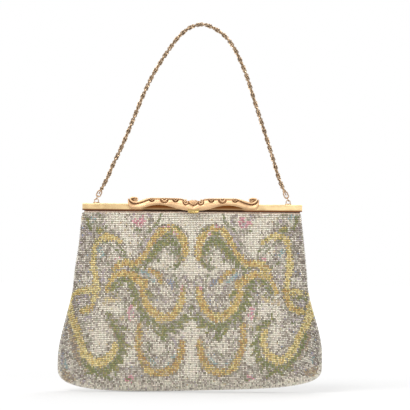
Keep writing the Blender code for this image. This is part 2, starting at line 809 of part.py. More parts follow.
def loop_tube(centre, along, across, length, width, wire, count=16):
    """A round or long closed loop of wire whose long side runs along the chain."""
    points = []
    straight = max(0, length - width) / 2
    for k in range(count):
        turn = 2 * math.pi * (k + 0.5) / count
        shift = straight if math.cos(turn) > 0 else -straight
        reach = math.cos(turn) * width / 2 + shift
        points.append(centre + along * reach + across * math.sin(turn) * width / 2)
    normal = along.cross(across)
    return tube(points, wire, normal, closed=True)


def make_chain_end(hand, word, eye, toward, look, carrier):
    """The jump ring and the long link between an eye and the rope."""
    along = (toward - eye).normalized()
    depth = Vector((0, 1, 0))
    sideways = along.cross(depth)
    ring_centre, link_near, link_far, _ = fitting_places()
    ring = loop_tube(
        eye + along * ring_centre, along, depth, 2 * RING_RADIUS, 2 * RING_RADIUS, RING_WIRE
    )
    piece(f"jump_ring_{word}", ring, look, carrier)
    middle = eye + along * (link_near + link_far) / 2
    link = loop_tube(middle, along, sideways, LINK_LENGTH, LINK_WIDTH, LINK_WIRE)
    piece(f"end_link_{word}", link, look, carrier)


def make_rope_chain(look, carrier):
    """The rope chain: a two-strand twist along the route, with a ring at each tip."""
    left, route, right = chain_line()
    tip = fitting_places()[3]
    tips = []
    for eye, toward in ((left, route[0]), (right, route[-1])):
        tips.append(eye + (toward - eye).normalized() * tip)
    start = tips[0] + (route[0] - tips[0]).normalized() * TIP_RADIUS
    stop = tips[1] + (route[-1] - tips[1]).normalized() * TIP_RADIUS
    line = smooth_route([start, *route, stop], ROPE_STEP)
    depth = Vector((0, 1, 0))
    stations = []
    run = 0
    for k, point in enumerate(line):
        before, after = line[max(k - 1, 0)], line[min(k + 1, len(line) - 1)]
        along = (after - before).normalized()
        sideways = along.cross(depth)
        run += (point - line[max(k - 1, 0)]).length
        twist = 2 * math.pi * run / ROPE_PITCH
        wide = math.cos(twist) * sideways + math.sin(twist) * depth
        thin = -math.sin(twist) * sideways + math.cos(twist) * depth
        station = []
        for j in range(ROPE_SIDES):
            turn = 2 * math.pi * j / ROPE_SIDES
            reach = wide * math.cos(turn) * ROPE_WIDTH / 2
            station.append(point + reach + thin * math.sin(turn) * ROPE_THICKNESS / 2)
        stations.append(station)
    rope = piece("rope_chain", loft(stations, False), look, carrier)
    for centre, toward in zip(tips, (route[0], route[-1])):
        along = (toward - centre).normalized()
        ring = loop_tube(centre, along, depth, 2 * TIP_RADIUS, 2 * TIP_RADIUS, TIP_WIRE)
        combine(rope, ring, "UNION")
    return left, route, right


def make_eye(hand, word, look, carrier):
    """A wire staple on the back bar that a jump ring hangs in."""
    centre = hand * EYE_SPACING / 2
    half = EYE_WIDTH / 2 - EYE_WIRE
    foot = MESH_GAP
    points = [Vector((centre - half, EYE_SETBACK, foot))]
    steps = 8
    shoulder = EYE_HEIGHT - half
    for k in range(steps + 1):
        turn = math.pi * (1 - k / steps)
        x = centre + half * math.cos(turn)
        points.append(Vector((x, EYE_SETBACK, shoulder + half * math.sin(turn))))
    points.append(Vector((centre + half, EYE_SETBACK, foot)))
    piece(f"chain_eye_{word}", tube(points, EYE_WIRE, Vector((0, 1, 0))), look, carrier)


def build():
    clear_scene()
    gilt = material("Satin gilt", (0.78, 0.55, 0.24), 0.32, 1)
    cast = material("Cast gilt", (0.80, 0.52, 0.22), 0.38, 1)
    chain = material("Chain gilt", (0.66, 0.47, 0.28), 0.35, 1)
    beads = material("Beaded cloth", (0.62, 0.57, 0.47), 0.45, 0)
    satin = material("Ivory satin", (0.80, 0.73, 0.60), 0.40, 0)
    steel = material("Spring brass", (0.70, 0.58, 0.34), 0.35, 1)

    swing = axis("swing_axis", (0, EYE_SETBACK, EYE_HEIGHT))
    hinge = axis("frame_axis", (0, 0, -HINGE_DROP))
    clasp = axis("clasp_axis", (0, -PIN_SETBACK, PIN_HEIGHT))
    handle = axis("handle_top", -BAG_PLACE)

    left, route, right = make_rope_chain(chain, handle)
    for hand, word, eye, toward in (
        (LEFT, "left", left, route[0]),
        (RIGHT, "right", right, route[-1]),
    ):
        make_chain_end(hand, word, eye, toward, chain, handle)
        make_eye(hand, word, gilt, swing)
        make_frame_rivet(hand, word, gilt, hinge)
        make_clasp_pin(hand, word, gilt, hinge)

    back = make_frame_half("frame_back", BACK, BACK_LUG, gilt, swing)
    cut_rivet_hole(back)
    front = make_frame_half("frame_front", FRONT, FRONT_LUG, gilt, hinge)
    add_frame_barrels(front)

    make_upper_cloth(BACK, "back", beads, satin, swing)
    make_upper_cloth(FRONT, "front", beads, satin, hinge)
    make_lower_cloth(BACK, "back", beads, satin, hinge)
    make_lower_cloth(FRONT, "front", beads, satin, hinge)
    make_pocket(satin, hinge)

    make_lever(gilt, clasp)
    make_ornament(cast, clasp)
    make_thumb_tab(gilt, clasp)
    make_catch_spring(steel, swing)
    make_catch_rivet(steel, swing)


build()
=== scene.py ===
"""Beaded evening handbag: its beads, satin, gilt frame, clasp and chain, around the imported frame.

Metres, +Z up, -Y is the front. Pieces are drawn in bag coordinates, whose zero is the middle
of the frame bar's top on the parting plane between the frame halves, and "drop" is a distance
down from there. PLACE carries them to where the bag hangs.
"""

import math
from contextlib import contextmanager

import bpy
import numpy as np
from bpy.props import FloatProperty, FloatVectorProperty, IntProperty, PointerProperty
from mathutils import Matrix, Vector
from mathutils.bvhtree import BVHTree


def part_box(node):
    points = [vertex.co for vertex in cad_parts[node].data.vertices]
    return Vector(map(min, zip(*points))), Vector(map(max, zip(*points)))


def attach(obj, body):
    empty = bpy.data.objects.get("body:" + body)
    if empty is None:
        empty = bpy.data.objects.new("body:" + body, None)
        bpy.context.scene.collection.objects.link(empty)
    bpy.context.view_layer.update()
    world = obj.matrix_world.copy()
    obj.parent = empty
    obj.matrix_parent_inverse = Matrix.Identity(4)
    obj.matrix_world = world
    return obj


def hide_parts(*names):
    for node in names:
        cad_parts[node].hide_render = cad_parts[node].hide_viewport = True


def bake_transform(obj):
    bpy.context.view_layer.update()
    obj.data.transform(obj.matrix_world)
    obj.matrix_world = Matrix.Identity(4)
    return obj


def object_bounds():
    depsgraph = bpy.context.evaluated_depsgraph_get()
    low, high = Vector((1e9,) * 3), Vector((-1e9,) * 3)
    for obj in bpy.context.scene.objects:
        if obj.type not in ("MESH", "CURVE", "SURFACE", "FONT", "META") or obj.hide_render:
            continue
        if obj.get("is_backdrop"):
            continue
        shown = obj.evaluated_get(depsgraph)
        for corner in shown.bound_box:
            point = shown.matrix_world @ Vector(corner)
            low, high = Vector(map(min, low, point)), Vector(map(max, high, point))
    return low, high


bl_info = {
    "name": "Beaded Evening Handbag",
    "version": (1, 0, 0),
    "blender": (4, 5, 0),
    "location": "View3D > Sidebar > Handbag",
    "description": "Makes the beads, satin, clasp and chain of a beaded evening handbag",
    "category": "Add Mesh",
}

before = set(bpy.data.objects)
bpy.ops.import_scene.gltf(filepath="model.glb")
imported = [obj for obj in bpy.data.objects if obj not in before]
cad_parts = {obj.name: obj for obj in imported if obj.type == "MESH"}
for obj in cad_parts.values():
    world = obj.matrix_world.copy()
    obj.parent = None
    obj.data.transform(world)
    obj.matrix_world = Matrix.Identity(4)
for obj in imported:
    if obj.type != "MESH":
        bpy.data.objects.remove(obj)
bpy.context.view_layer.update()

MILLIMETRE = 0.001
FRONT, BACK = -1, 1
LEFT, RIGHT = -1, 1

# Each side of the bag, its word in the pieces' names, and the body of its frame half
SIDES = ((FRONT, "front", "front_half"), (BACK, "back", "back_half"))

# The frame and the pouch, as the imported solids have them
PLACE = Vector((-0.0078, -0.0022, -0.162))
BAR_FOOT = 0.0068
BAR_FRONT = 0.0067
HINGE_DROP = 0.066
HINGE_WIDTH = 0.211
POUCH_WIDTH = 0.239
POUCH_DROP = 0.1703
WIDEST_DROP = 0.140
CORNER_DROP = 0.147
CORNER_POWER = 4.0
TUCKED_HALF = 0.0989
TUCK_DROP = 0.0022
TUCK_FULLNESS = 0.0056
HINGE_FULLNESS = 0.0080
BELLY_FULLNESS = 0.0150
BELLY_DROP = 0.122
EDGE_FULLNESS = 0.0062
SEAM_FULLNESS = 0.0034
SEAM_RUN = 0.022
DOME_POWER = 2.6
DOME_ROUNDNESS = 0.8
FLOOR_START_SHARE = 0.78
SKIRT_EDGE = 0.0013
SEAM_EDGE = 0.0002
LINING_INSET = 0.0048
LINING_LEVEL = 0.0021
POCKET_LEVEL = 0.0035
POCKET_WIDTH = 0.080
POCKET_TOP_DROP = 0.078
POCKET_BOTTOM_DROP = 0.128
EYE_REACH = 0.0875
EYE_SETBACK = 0.0022
EYE_HEIGHT = 0.0041
APEX_HEIGHT = 0.1639
APEX_OFFSET = 0.0078
ORNAMENT_BACK = 0.0087

# How the full bag leaves the solids' shape: its left corner is rounder, it leans to its left
# and fills out, its top left corner bulges under the bar, and its foot is higher on the right
LEFT_CORNER_DROP = 0.144
LEFT_CORNER_POWER = 3.3
LEAN = 0.0010
LEAN_START = 0.02
LEAN_RUN = 0.05
FILLING = 0.0010
LEFT_BULGE = 0.0015
BULGE_RISE = 0.003
BULGE_END = 0.045
BULGE_FALL = 0.035
FOOT_TILT = 0.0034

# How the cloth rounds into its seams, and how its rows follow the foot's rounded edge
SIDE_ROUNDING = 12
FOOT_ROUNDING = 12
FOOT_RUN = 0.040
FOOT_FOLLOWING = 1.3

# Above and below the hinges: the ends of the hinge strip of beads, and of the narrowing of the
# cloth's seam edge
BEND_ABOVE = 0.013
BEND_BELOW = 0.007

# The strip of bare cloth between the bar and the first row of beads, how deep the beads sit in
# the cloth, and where the strip of beads over the belly ends and the one over the foot starts
HEADING = 0.0016
BEAD_SINK = 0.0003
FOOT_ZONE_DROP = 0.118

# The strips that the beads are made in, each with the drops where it starts and ends
BEAD_ZONES = {
    "upper": (0, HINGE_DROP - BEND_ABOVE),
    "hinge": (HINGE_DROP - BEND_ABOVE, HINGE_DROP + BEND_BELOW),
    "belly": (HINGE_DROP + BEND_BELOW, FOOT_ZONE_DROP),
    "foot": (FOOT_ZONE_DROP, 1),
}

# A bead's hand-made unevenness, in its tilt, its size as a share and its place
BEAD_TILT = math.radians(3.5)
BEAD_SIZE_SPREAD = 0.035
BEAD_SHIFT = 0.00004

# The share of a bead's length where its barrel ends and its rounded ends start, how many columns
# of cells the beads' map has, and the margin round a bead in its cell
BARREL_SHARE = 0.72
MAP_COLUMNS = 200
MAP_MARGIN = 0.1

# The lining's gathers: how high they are, how far it is drawn in for them, and their pace
GATHER_HEIGHT = 0.00022
GATHER_ROOM = 0.00025
GATHER_PACE = 118

# The pocket's satin, how slack it hangs at its mouth and how soon that ends, and its hems
POCKET_THICKNESS = 0.0004
POCKET_SLACK = 0.0005
SLACK_RUN = 0.012
HEM_DROPS = (0.0, 0.0032)
HEM_RADIUS = 0.0003

# Painted shade on the bar's outer face, each as where it starts and where it is full: half its
# width behind the clasp, where the ornament would shade it, its drop there, and the drop of the
# painted shadow line along the bar's foot
SHADE_HALF_WIDTH = (0.050, 0.043)
SHADE_DROP = (0.0078, 0.0030)
FOOT_SHADOW_DROP = (0.0047, 0.0059)

# Painted shade in the hollows of cast and linked pieces: how far off the surface a ray starts,
# and how the share of rays that meet the piece again becomes a depth of painted shade
RAY_START = 0.00006
HOLLOW_SHADE_GAIN = 1.7
HOLLOW_SHADE_LOSS = 0.25

# The thumb tab: its thickness, how much narrower its foot is and how much its lower corners are
# drawn in, how far its foot curls out, how deep it is dished, and how its lower corners rise
TAB_THICKNESS = 0.0009
TAB_TAPER = 0.10
TAB_CORNER_TAPER = 0.6
TAB_CURL = 0.0033
TAB_DISH = 0.00035
TAB_CORNER_RISE = 0.0009
TAB_BEVEL = 0.00018

# Along the chain from an eye: the middle of the jump ring, the end link's two ends, the middle
# of the ring that joins it to the rope, and the rope's first ring
RING_CENTRE = 0.00105
LINK_NEAR = 0.0021
LINK_FAR = 0.0083
JOINING_CENTRE = 0.0067
TIP_CENTRE = 0.00845

# The length, width and wire radius of each of them
JUMP_RING = (0.0044, 0.0044, 0.0004)
END_LINK = (0.0062, 0.0036, 0.00062)
JOINING_RING = (0.0034, 0.0034, 0.0005)
ROPE_RING_RADIUS = 0.0013
ROPE_RING_WIRE = 0.0004

# How far from its ends the rope's strands close up
ROPE_FADE = 0.004

# The eyelet: half its width, its wire, how far over the bar it starts, its oval base and the
# washers round its feet
EYELET_HALF = 0.00185
EYELET_WIRE = 0.00045
EYELET_LIFT = 0.0003
EYELET_BASE = (3.2, 1.5, 0.8)
WASHER_RADIUS = 0.00095
WASHER_HEIGHT = 0.0005
WASHER_BEVEL = 0.00015

# The lamps' places, sizes and powers, and where they and the camera look
LAMPS = (
    ("key_light", (-0.60, -1.15, 1.05), 0.8, 20.0),
    ("fill_light", (0.66, -1.40, -0.13), 0.38, 4.8),
    ("top_light", (0.1, 0.35, 1.1), 0.9, 8.0),
    ("back_light", (0.55, 1.60, 0.75), 0.9, 9.0),
)
LAMP_AIM = Vector((0, 0, -0.2))
PICTURE_MIDDLE = (0.0038, -0.1629)

# How bright the floor and the surroundings are where they light things and where they are
# seen, and the glow added to the seen floor, near the bag and far from it
FLOOR_LIGHTING, FLOOR_SEEN = 0.86, 0.45
AIR_LIGHTING, AIR_SEEN = 0.50, 1.0
GLOW_REACH = (0.25, 1.6)
FLOOR_GLOW = (0.42, 0.85)

# The chain's route between its eyes: the share of half the eye spacing sideways, and the
# share of the height from the bar's top to the chain's highest point
CHAIN_ROUTE_SHARES = (
    (-0.883, 0.147), (-0.831, 0.214), (-0.743, 0.314), (-0.639, 0.447), (-0.540, 0.580),
    (-0.447, 0.691), (-0.353, 0.780), (-0.260, 0.857), (-0.156, 0.930), (-0.042, 0.981),
    (0.089, 1.000), (0.208, 0.980), (0.322, 0.938), (0.410, 0.880), (0.478, 0.812),
    (0.556, 0.713), (0.644, 0.569), (0.738, 0.419), (0.821, 0.283), (0.904, 0.142),
)

# Bead colours, as screen colours from 0 to 255
BEAD_COLOURS = {
    "cream": (246, 239, 223),
    "pearl": (234, 227, 212),
    "silver": (211, 203, 190),
    "grey": (188, 180, 167),
    "dusk": (164, 154, 143),
    "speck": (140, 129, 117),
    "gold": (224, 198, 130),
    "lemon": (244, 229, 170),
    "amber": (198, 160, 102),
    "olive": (172, 164, 108),
    "green": (140, 147, 97),
    "sage": (164, 166, 142),
    "teal": (166, 190, 188),
    "blue": (158, 170, 190),
    "lilac": (200, 188, 194),
    "pink": (232, 176, 184),
    "rose": (206, 140, 152),
    "buff": (220, 203, 168),
    "earth": (184, 162, 138),
}

# The share of each bead colour in a ground or a stroke
BEAD_MIXES = {
    "plain": {"cream": 70, "pearl": 25, "silver": 3, "buff": 2},
    "pale": {"silver": 42, "pearl": 46, "grey": 12},
    "veins": {"grey": 44, "dusk": 24, "sage": 14, "silver": 8, "lilac": 4, "speck": 6},
    "shade": {"grey": 40, "dusk": 26, "silver": 14, "lilac": 6, "blue": 2, "speck": 12},
    "earth": {"earth": 44, "dusk": 14, "buff": 22, "grey": 20},
    "gold": {"gold": 50, "lemon": 12, "buff": 10, "amber": 20, "olive": 8},
    "yellow": {"gold": 38, "lemon": 43, "buff": 10, "olive": 9},
    "amber": {"amber": 32, "gold": 34, "buff": 20, "olive": 10, "earth": 4},
    "green": {"green": 50, "olive": 26, "sage": 20, "dusk": 4},
    "olive": {"olive": 44, "green": 26, "gold": 12, "sage": 18},
    "sage": {"sage": 44, "green": 16, "grey": 20, "silver": 20},
    "teal": {"teal": 46, "pearl": 26, "silver": 20, "sage": 8},
    "blue": {"blue": 44, "lilac": 10, "silver": 20, "dusk": 26},
    "lilac": {"lilac": 44, "pearl": 24, "grey": 22, "silver": 10},
    "dusk": {"dusk": 36, "lilac": 26, "grey": 38},
    "pink": {"pink": 50, "rose": 10, "pearl": 26, "lilac": 14},
    "rose": {"rose": 34, "pink": 30, "grey": 16, "pearl": 20},
    "buff": {"buff": 56, "lemon": 14, "silver": 30},
}

# The scrolling pattern: a mix, the side on which the stroke grows leaf points (1 is on its
# right as it runs, 0 is neither), and points across, down and wide in millimetres from the
# middle of the bar. A stroke whose first point is on the left or in the middle is mirrored to
# the right, one that starts on the right is drawn there alone, and later strokes lie over
# earlier ones.
SCROLL_STROKES = (
    ("plain", 0, ((-48.5, 8, 6.4), (-23.5, 11, 11), (0, 12.5, 16.4))),
    ("plain", 0, ((0, 18, 11.9), (0, 34.5, 8.2), (0, 53, 13.7), (0, 62, 11))),
    ("plain", 0, ((-57.5, 22.5, 6.4), (-57.5, 33.5, 8.2), (-55.5, 43, 6.4))),
    ("plain", 0, ((-35.5, 57.5, 5.5), (-23.5, 54.5, 9.1), (-7.5, 59.5, 11))),
    ("plain", 0, ((0, 104, 4.6), (-1, 118.5, 11.9), (0, 133, 8.2), (0, 153.5, 11))),
    ("plain", 0, ((-52, 122.5, 5.5), (-54, 133, 7.3), (-58.5, 145, 7.3))),
    ("plain", 0, ((-77.5, 96, 7.3), (-68.5, 97.5, 8.2))),
    ("plain", 0, ((-72, 11, 7.3), (-63, 16.5, 7.3))),
    ("plain", 0, ((-30, 128.5, 7.3), (-25.5, 135, 5.5))),
    ("plain", 0, ((-79.5, 120.5, 8.2), (-85, 133, 6.4))),
    ("shade", 0, (
        (-98, 14, 5), (-99, 23, 8), (-100.5, 35.5, 10), (-102.5, 49, 10), (-104, 61, 10),
        (-106, 75.5, 8.2),
    )),
    ("shade", 0, ((-94, 26.5, 8.2), (-86.5, 29, 5.5))),
    ("shade", 0, ((-92, 39, 4.6), (-94, 53, 4.6), (-97, 62, 5.5))),
    ("shade", 0, ((-113, 102, 6.4), (-115, 117, 8.2), (-117, 133, 9.1), (-117, 149.5, 9.1))),
    ("earth", 0, (
        (-111.5, 107.5, 3.7), (-108.5, 119.5, 5.5), (-106, 130.5, 7.3), (-101.5, 141.5, 7.3),
        (-93, 152.5, 5.5),
    )),
    ("earth", 0, ((-116, 154, 4.6), (-113, 158, 9.1), (-107, 159, 6.4))),
    ("shade", 0, ((-105, 152.5, 7.3), (-97.5, 159, 9.1), (-86, 161.5, 7.3), (-72, 164, 7.3))),
    ("shade", 0, ((-58.5, 151.5, 10), (-51, 154, 12.8), (-44.5, 159, 7.3))),
    ("shade", 0, ((-48.5, 98.5, 6.4), (-44.5, 107.5, 8.2), (-40, 112, 6.4))),
    ("shade", 0, ((-35.5, 75.5, 7.3), (-30, 83, 8.2), (-26.5, 90.5, 7.3))),
    ("shade", 0, ((-66.5, 75, 7.3), (-63, 81, 9.1), (-59.5, 88.5, 6.4))),
    ("shade", 0, ((-63, 110.5, 7.3), (-58.5, 115, 7.3))),
    ("shade", 0, ((-80.5, 36.5, 4.6), (-78.5, 47.5, 6.4), (-77.5, 58.5, 4.6), (-81.5, 69.5, 4.6))),
    ("shade", 0, ((-32, 22, 3.7), (-38.5, 31, 4.6), (-44.5, 40, 3.7), (-53, 48.5, 3.7))),
    ("shade", 0, ((-17.5, 78.5, 6.4), (-15.5, 86.5, 5.5))),
    ("shade", 0, ((-37.5, 129.5, 2.7), (-34.5, 138, 4.6), (-27.5, 141.5, 5.5), (-18.5, 136, 4.6))),
    ("shade", 0, ((-71, 58.5, 3.7), (-74, 53, 3.7))),
    ("shade", 0, ((-94, 124, 3.7), (-92, 131.5, 3.7))),
    ("buff", 0, ((-79.5, 89.5, 5.5), (-66.5, 85.5, 6.4))),
    ("yellow", 0, (
        (-65.5, 32, 1.4), (-70.5, 29, 3.4), (-76.5, 28, 4.8), (-82, 30, 4.4), (-86.5, 33.5, 3.6),
        (-88.5, 39, 3.2), (-89, 46.5, 3.2), (-89.5, 54, 4.2), (-89, 60, 3.8), (-87, 67.5, 3),
        (-86.5, 75, 3.6), (-86.5, 81, 3.8), (-88.5, 87.5, 3.4), (-91.5, 92, 2.7),
    )),
    ("olive", 0, ((-84, 22.5, 4.6), (-79.5, 23.5, 2.7))),
    ("yellow", 0, (
        (-86.5, 78.5, 3.7), (-93, 79.5, 5.5), (-99.5, 81, 5.9), (-105, 84, 5.5),
        (-108.5, 89.5, 4.6), (-110.5, 96, 4.6), (-109.5, 102, 5), (-107, 108.5, 5.5),
        (-104, 115, 5), (-102, 122.5, 5), (-99.5, 129.5, 5.9), (-97, 137, 7.3), (-92, 143, 7.8),
        (-86, 146.5, 7.3), (-79.5, 144, 7.3), (-74, 139.5, 5.9), (-70.5, 134, 5),
        (-68.5, 128.5, 3.7),
    )),
    ("gold", 0, ((-98.5, 98.5, 2.7), (-94, 96.5, 4.6), (-90.5, 93, 2.7))),
    ("dusk", 0, (
        (-106, 94, 3.7), (-106, 87.5, 3.7), (-100.5, 85, 3.7), (-94, 86.5, 2.7), (-93, 91, 2.7),
    )),
    ("lilac", 0, ((-101.5, 90.5, 3.7), (-97.5, 92, 2.7))),
    ("lilac", 0, ((-99.5, 106, 2.7), (-92, 105, 2.7))),
    ("sage", 0, ((-98.5, 110.5, 1.5), (-91.5, 109.5, 1.5))),
    ("dusk", 0, ((-97.5, 115, 1.5), (-91.5, 114, 1.5))),
    ("sage", 0, ((-97, 120.5, 1.5), (-90.5, 118.5, 1.5))),
    ("sage", 0, ((-95, 127, 1.5), (-89.5, 125, 1.5))),
    ("earth", 0, ((-75, 107.5, 2.3), (-71, 114, 2.7), (-67.5, 121.5, 2.7), (-67, 126, 1.8))),
    ("sage", 0, (
        (-80.5, 33.5, 1.5), (-75, 34.5, 2.2), (-70.5, 38.5, 2.4), (-66.5, 43, 2.7),
        (-64, 47.5, 1.8),
    )),
    ("sage", 0, ((-71, 33, 1.5), (-65.5, 37.5, 2), (-61, 43.5, 2.4), (-60.5, 50, 1.8))),
    ("teal", 0, ((-83, 41, 5.5), (-81.5, 46.5, 4.6))),
    ("sage", 0, ((-79.5, 53, 1.8), (-74, 56.5, 1.8), (-72, 62, 1.5))),
    ("lilac", 0, ((-79.5, 64, 3.7), (-80.5, 71, 3.7))),
    ("green", 0, ((-20, 58, 1.2), (-15, 55.5, 1.8), (-11.5, 51, 2.4))),
    ("green", -1, (
        (-10.8, 49, 2.6), (-10, 45, 3.4), (-11, 38.5, 3.8),
        (-15.5, 32.5, 4.2), (-22, 30, 4.6), (-28.5, 33, 4.6), (-33, 39, 4.4), (-37.5, 45.5, 4.2),
        (-42, 51, 3.4), (-47.5, 55.5, 2.8), (-53, 59, 2),
    )),
    ("gold", 0, (
        (-76.5, 78.5, 2.7), (-74, 72, 3.2), (-71, 65.5, 4.1), (-68.5, 59.5, 5.5),
        (-64.5, 55, 5.9), (-58.5, 53.5, 5), (-52, 54.5, 5), (-47.5, 51.5, 4.6), (-44, 46, 4.6),
        (-41, 40.5, 4.6), (-38.5, 34.5, 4.6), (-34.5, 29, 5), (-31, 24.5, 5.9),
        (-26.5, 21.5, 5.9), (-20.5, 20, 5.5), (-15, 22, 5.5), (-11, 25.5, 5.5), (-8, 31, 5.5),
        (-6.5, 37.5, 5), (-6.5, 43, 4.6), (-8, 48, 3.2),
    )),
    ("olive", 0, ((-23.5, 25, 2.7), (-19, 25, 3.2))),
    ("olive", 0, ((-15, 18.5, 1.2), (-11, 20.5, 1.4))),
    ("rose", 0, ((-26.5, 18.5, 1.5), (-21, 17.5, 1.5))),
    ("pink", 0, ((-16.5, 24, 2), (-13.5, 25.5, 2))),
    ("green", 0, ((-9.5, 49, 1.8), (-12, 55, 2), (-17, 60, 1.4))),
    ("earth", 0, ((-12, 47.5, 2.7), (-14, 52, 2.3))),
    ("sage", 0, ((-23.5, 38.5, 1.5), (-20, 41, 1.8), (-19, 45.5, 1.5))),
    ("sage", 0, ((-18.5, 39, 1.5), (-15, 43.5, 1.6), (-15.5, 49, 1.5))),
    ("dusk", 0, ((-28.5, 42, 1.8), (-31, 47.5, 2.2), (-34.5, 52, 1.8))),
    ("lilac", 0, ((-34.5, 21, 2.7), (-38.5, 27.5, 2.7), (-43, 35.5, 2.7))),
    ("green", 1, (
        (-73, 79.5, 1.7), (-71, 73, 2.3), (-66.5, 69, 2.8), (-60.5, 67, 2.5), (-55, 69.5, 2.8),
        (-52.5, 75, 3.4), (-50, 81, 3.7), (-47.5, 88.5, 3.7), (-44, 96, 3.7), (-39.5, 102, 3.4),
        (-34, 107, 3.8), (-27.5, 111, 4.2), (-21, 112, 4.6), (-14.5, 110, 4.4),
        (-9, 106, 3.4), (-6, 101, 1.8),
    )),
    ("gold", 0, (
        (-70.5, 66.5, 2.7), (-65, 64.5, 4.1), (-58.5, 64, 4.1), (-53, 66, 4.6), (-48.5, 70, 5.5),
        (-43.5, 72.5, 5), (-44.5, 78.5, 4.6), (-43.5, 85, 5), (-41, 90.5, 5.5), (-37.5, 96, 5.9),
        (-33, 100.5, 6.4), (-27.5, 103.5, 6.4), (-22, 104, 5.9), (-16.5, 101, 5.9),
        (-12, 95, 5.5), (-9, 88.5, 4.6), (-8, 82, 3.7), (-8, 77.5, 2.7),
    )),
    ("olive", 0, ((-40, 80.5, 2.7), (-36.5, 84, 3.2))),
    ("green", 0, ((-34, 112, 2), (-30, 117.5, 3), (-26.5, 122, 2.3), (-23, 125, 1.4))),
    ("amber", 0, ((-38.5, 61, 2.3), (-34, 62.5, 2.7), (-29.5, 66.5, 2.6), (-27.5, 72, 2))),
    ("teal", 0, ((-47.5, 62, 2.7), (-41, 64.5, 2.7), (-35.5, 69.5, 3.2), (-32, 73, 2.3))),
    ("blue", 0, ((-44.5, 64, 2.3), (-40, 67, 1.8))),
    ("blue", 0, ((-21.5, 70, 4.6), (-18.5, 73, 5.9), (-17.5, 76.5, 2.7))),
    ("sage", 0, ((-15.5, 64.5, 2.3), (-13.5, 72, 2.3), (-13, 80.5, 2.7))),
    ("dusk", 0, (
        (-11, 75.5, 2.2), (-10.5, 70, 2.4), (-7, 66, 2.7), (-3.5, 70, 2.4), (-3, 77.5, 2.2),
    )),
    ("dusk", 0, ((-33, 73, 1.8), (-30, 79.5, 2.2), (-26.5, 85.5, 2.2), (-23, 90.5, 1.8))),
    ("pink", 0, ((-9, 74, 2.7), (-9.5, 78.5, 2.4))),
    ("green", -1, (
        (-75, 106, 1.7), (-71, 111.5, 2.8), (-66.5, 117.5, 2.8), (-64.5, 125, 3.1),
        (-63.5, 132.5, 3.4), (-65.5, 140, 3.7), (-71, 146.5, 3.7), (-77.5, 150.5, 3.4),
        (-85, 151.5, 2.5), (-92, 149, 2), (-97, 143, 1.7),
    )),
    ("green", 0, ((-82, 154, 2.7), (-77.5, 157, 3.7), (-73, 160, 2.3))),
    ("amber", 0, (
        (-47, 111.5, 2.7), (-47.5, 118.5, 4.1), (-48, 126, 4.6), (-47, 133, 4.1),
        (-44.5, 140.5, 4.6), (-41, 147, 5.5), (-36.5, 152, 5.9), (-30, 153.5, 5.5),
        (-23, 153, 6.4), (-16.5, 149.5, 5.5), (-12, 143.5, 5), (-9, 137, 4.6), (-8, 130.5, 4.6),
        (-8, 125, 2.7),
    )),
    ("gold", 0, ((-39.5, 150.5, 3.7), (-35.5, 153.5, 3.7))),
    ("sage", 0, ((-41, 135, 1.8), (-38.5, 140.5, 2.2), (-34.5, 145, 2.2))),
    ("teal", 0, ((-36.5, 142.5, 3.1), (-33, 146, 2.7))),
    ("teal", 0, ((-24.5, 147, 2.4), (-19, 143, 3.1), (-15.5, 138.5, 2.4))),
    ("sage", 0, ((-30, 139.5, 1.8), (-25.5, 137, 2.2), (-20, 135, 1.8))),
    ("sage", 0, ((-42, 124, 1.6), (-38.5, 127.5, 1.6), (-37.5, 132.5, 1.5))),
    ("dusk", 0, ((-21, 119.5, 1.8), (-16.5, 123, 2.2), (-13, 128.5, 1.8))),
    ("pink", 0, ((-52, 13.5, 4.8), (-48.5, 15.5, 5.4))),
    ("pink", 0, ((-46, 10, 4.6), (-44.5, 13.5, 5.4), (-45.5, 17.5, 3.6))),
    ("rose", 0, ((-47.5, 12, 2), (-46.5, 15.5, 1.8))),
    ("lilac", 0, ((-55, 11, 3.1), (-53, 8, 2.2))),
    ("dusk", 0, ((-40, 8, 2.2), (-36.5, 11, 2.7), (-38.5, 16.5, 2.2))),
    ("sage", 0, (
        (-28.5, 8, 2.2), (-30, 12.5, 3.1), (-34, 17.5, 3.5), (-38.5, 22, 3.3), (-43, 26.5, 2.7),
        (-44, 32, 3.1), (-48.5, 36, 3.1),
    )),
    ("sage", 0, ((-53, 22.5, 2.2), (-49.5, 20.5, 2.2), (-47.5, 24.5, 2.2))),
    ("dusk", 0, ((-42, 38.5, 2.2), (-45.5, 43, 2.2))),
    ("pink", 0, ((-55.5, 95, 4.4), (-54.5, 101, 5.2), (-55.5, 104.5, 4))),
    ("rose", 0, ((-55, 98.5, 1.8), (-55.5, 102, 1.6))),
    ("buff", 0, ((-61, 103, 2.7), (-64, 106, 2.2))),
    ("sage", 0, ((-59.5, 90.5, 2.4), (-60.5, 96, 2.2), (-58.5, 106, 2.4))),
    ("pink", 0, ((-58.5, 160, 5), (-55, 158.5, 5), (-53.5, 161.5, 3.6))),
    ("rose", 0, ((-57.5, 161.5, 2.2), (-55, 160.5, 1.8))),
    ("sage", 0, ((-62, 157, 2.2), (-52, 161.5, 2.7), (-48.5, 158, 2.7))),
    ("pink", 0, ((-69.5, 51, 2.4), (-65.5, 48.5, 2.2))),
    ("earth", 0, ((-99.6, 8, 2.6), (-99.8, 12, 2.2), (-100, 15, 1.6))),
    ("teal", 0, ((-91, 11, 3.7), (-89, 13.5, 4.6))),
    ("sage", 0, ((-86.5, 8, 3.1), (-82.5, 10, 3.1), (-81.5, 14.5, 2.4))),
    ("green", 0, ((-95, 12, 2.2), (-94.5, 17.5, 2.7), (-92, 22, 2.7))),
    ("dusk", 0, ((-97.5, 22, 4.6), (-96, 25.5, 3.7))),
    ("sage", 0, ((-76.5, 16.5, 2.4), (-78.5, 21, 2.4))),
    ("lilac", 0, ((-83, 17.5, 3.1), (-79.5, 14.5, 2.2))),
    ("blue", 0, ((-118, 136, 2.7), (-116, 139.5, 1.8))),
    ("teal", 0, ((-114, 144, 3.1), (-113, 149.5, 2.7))),
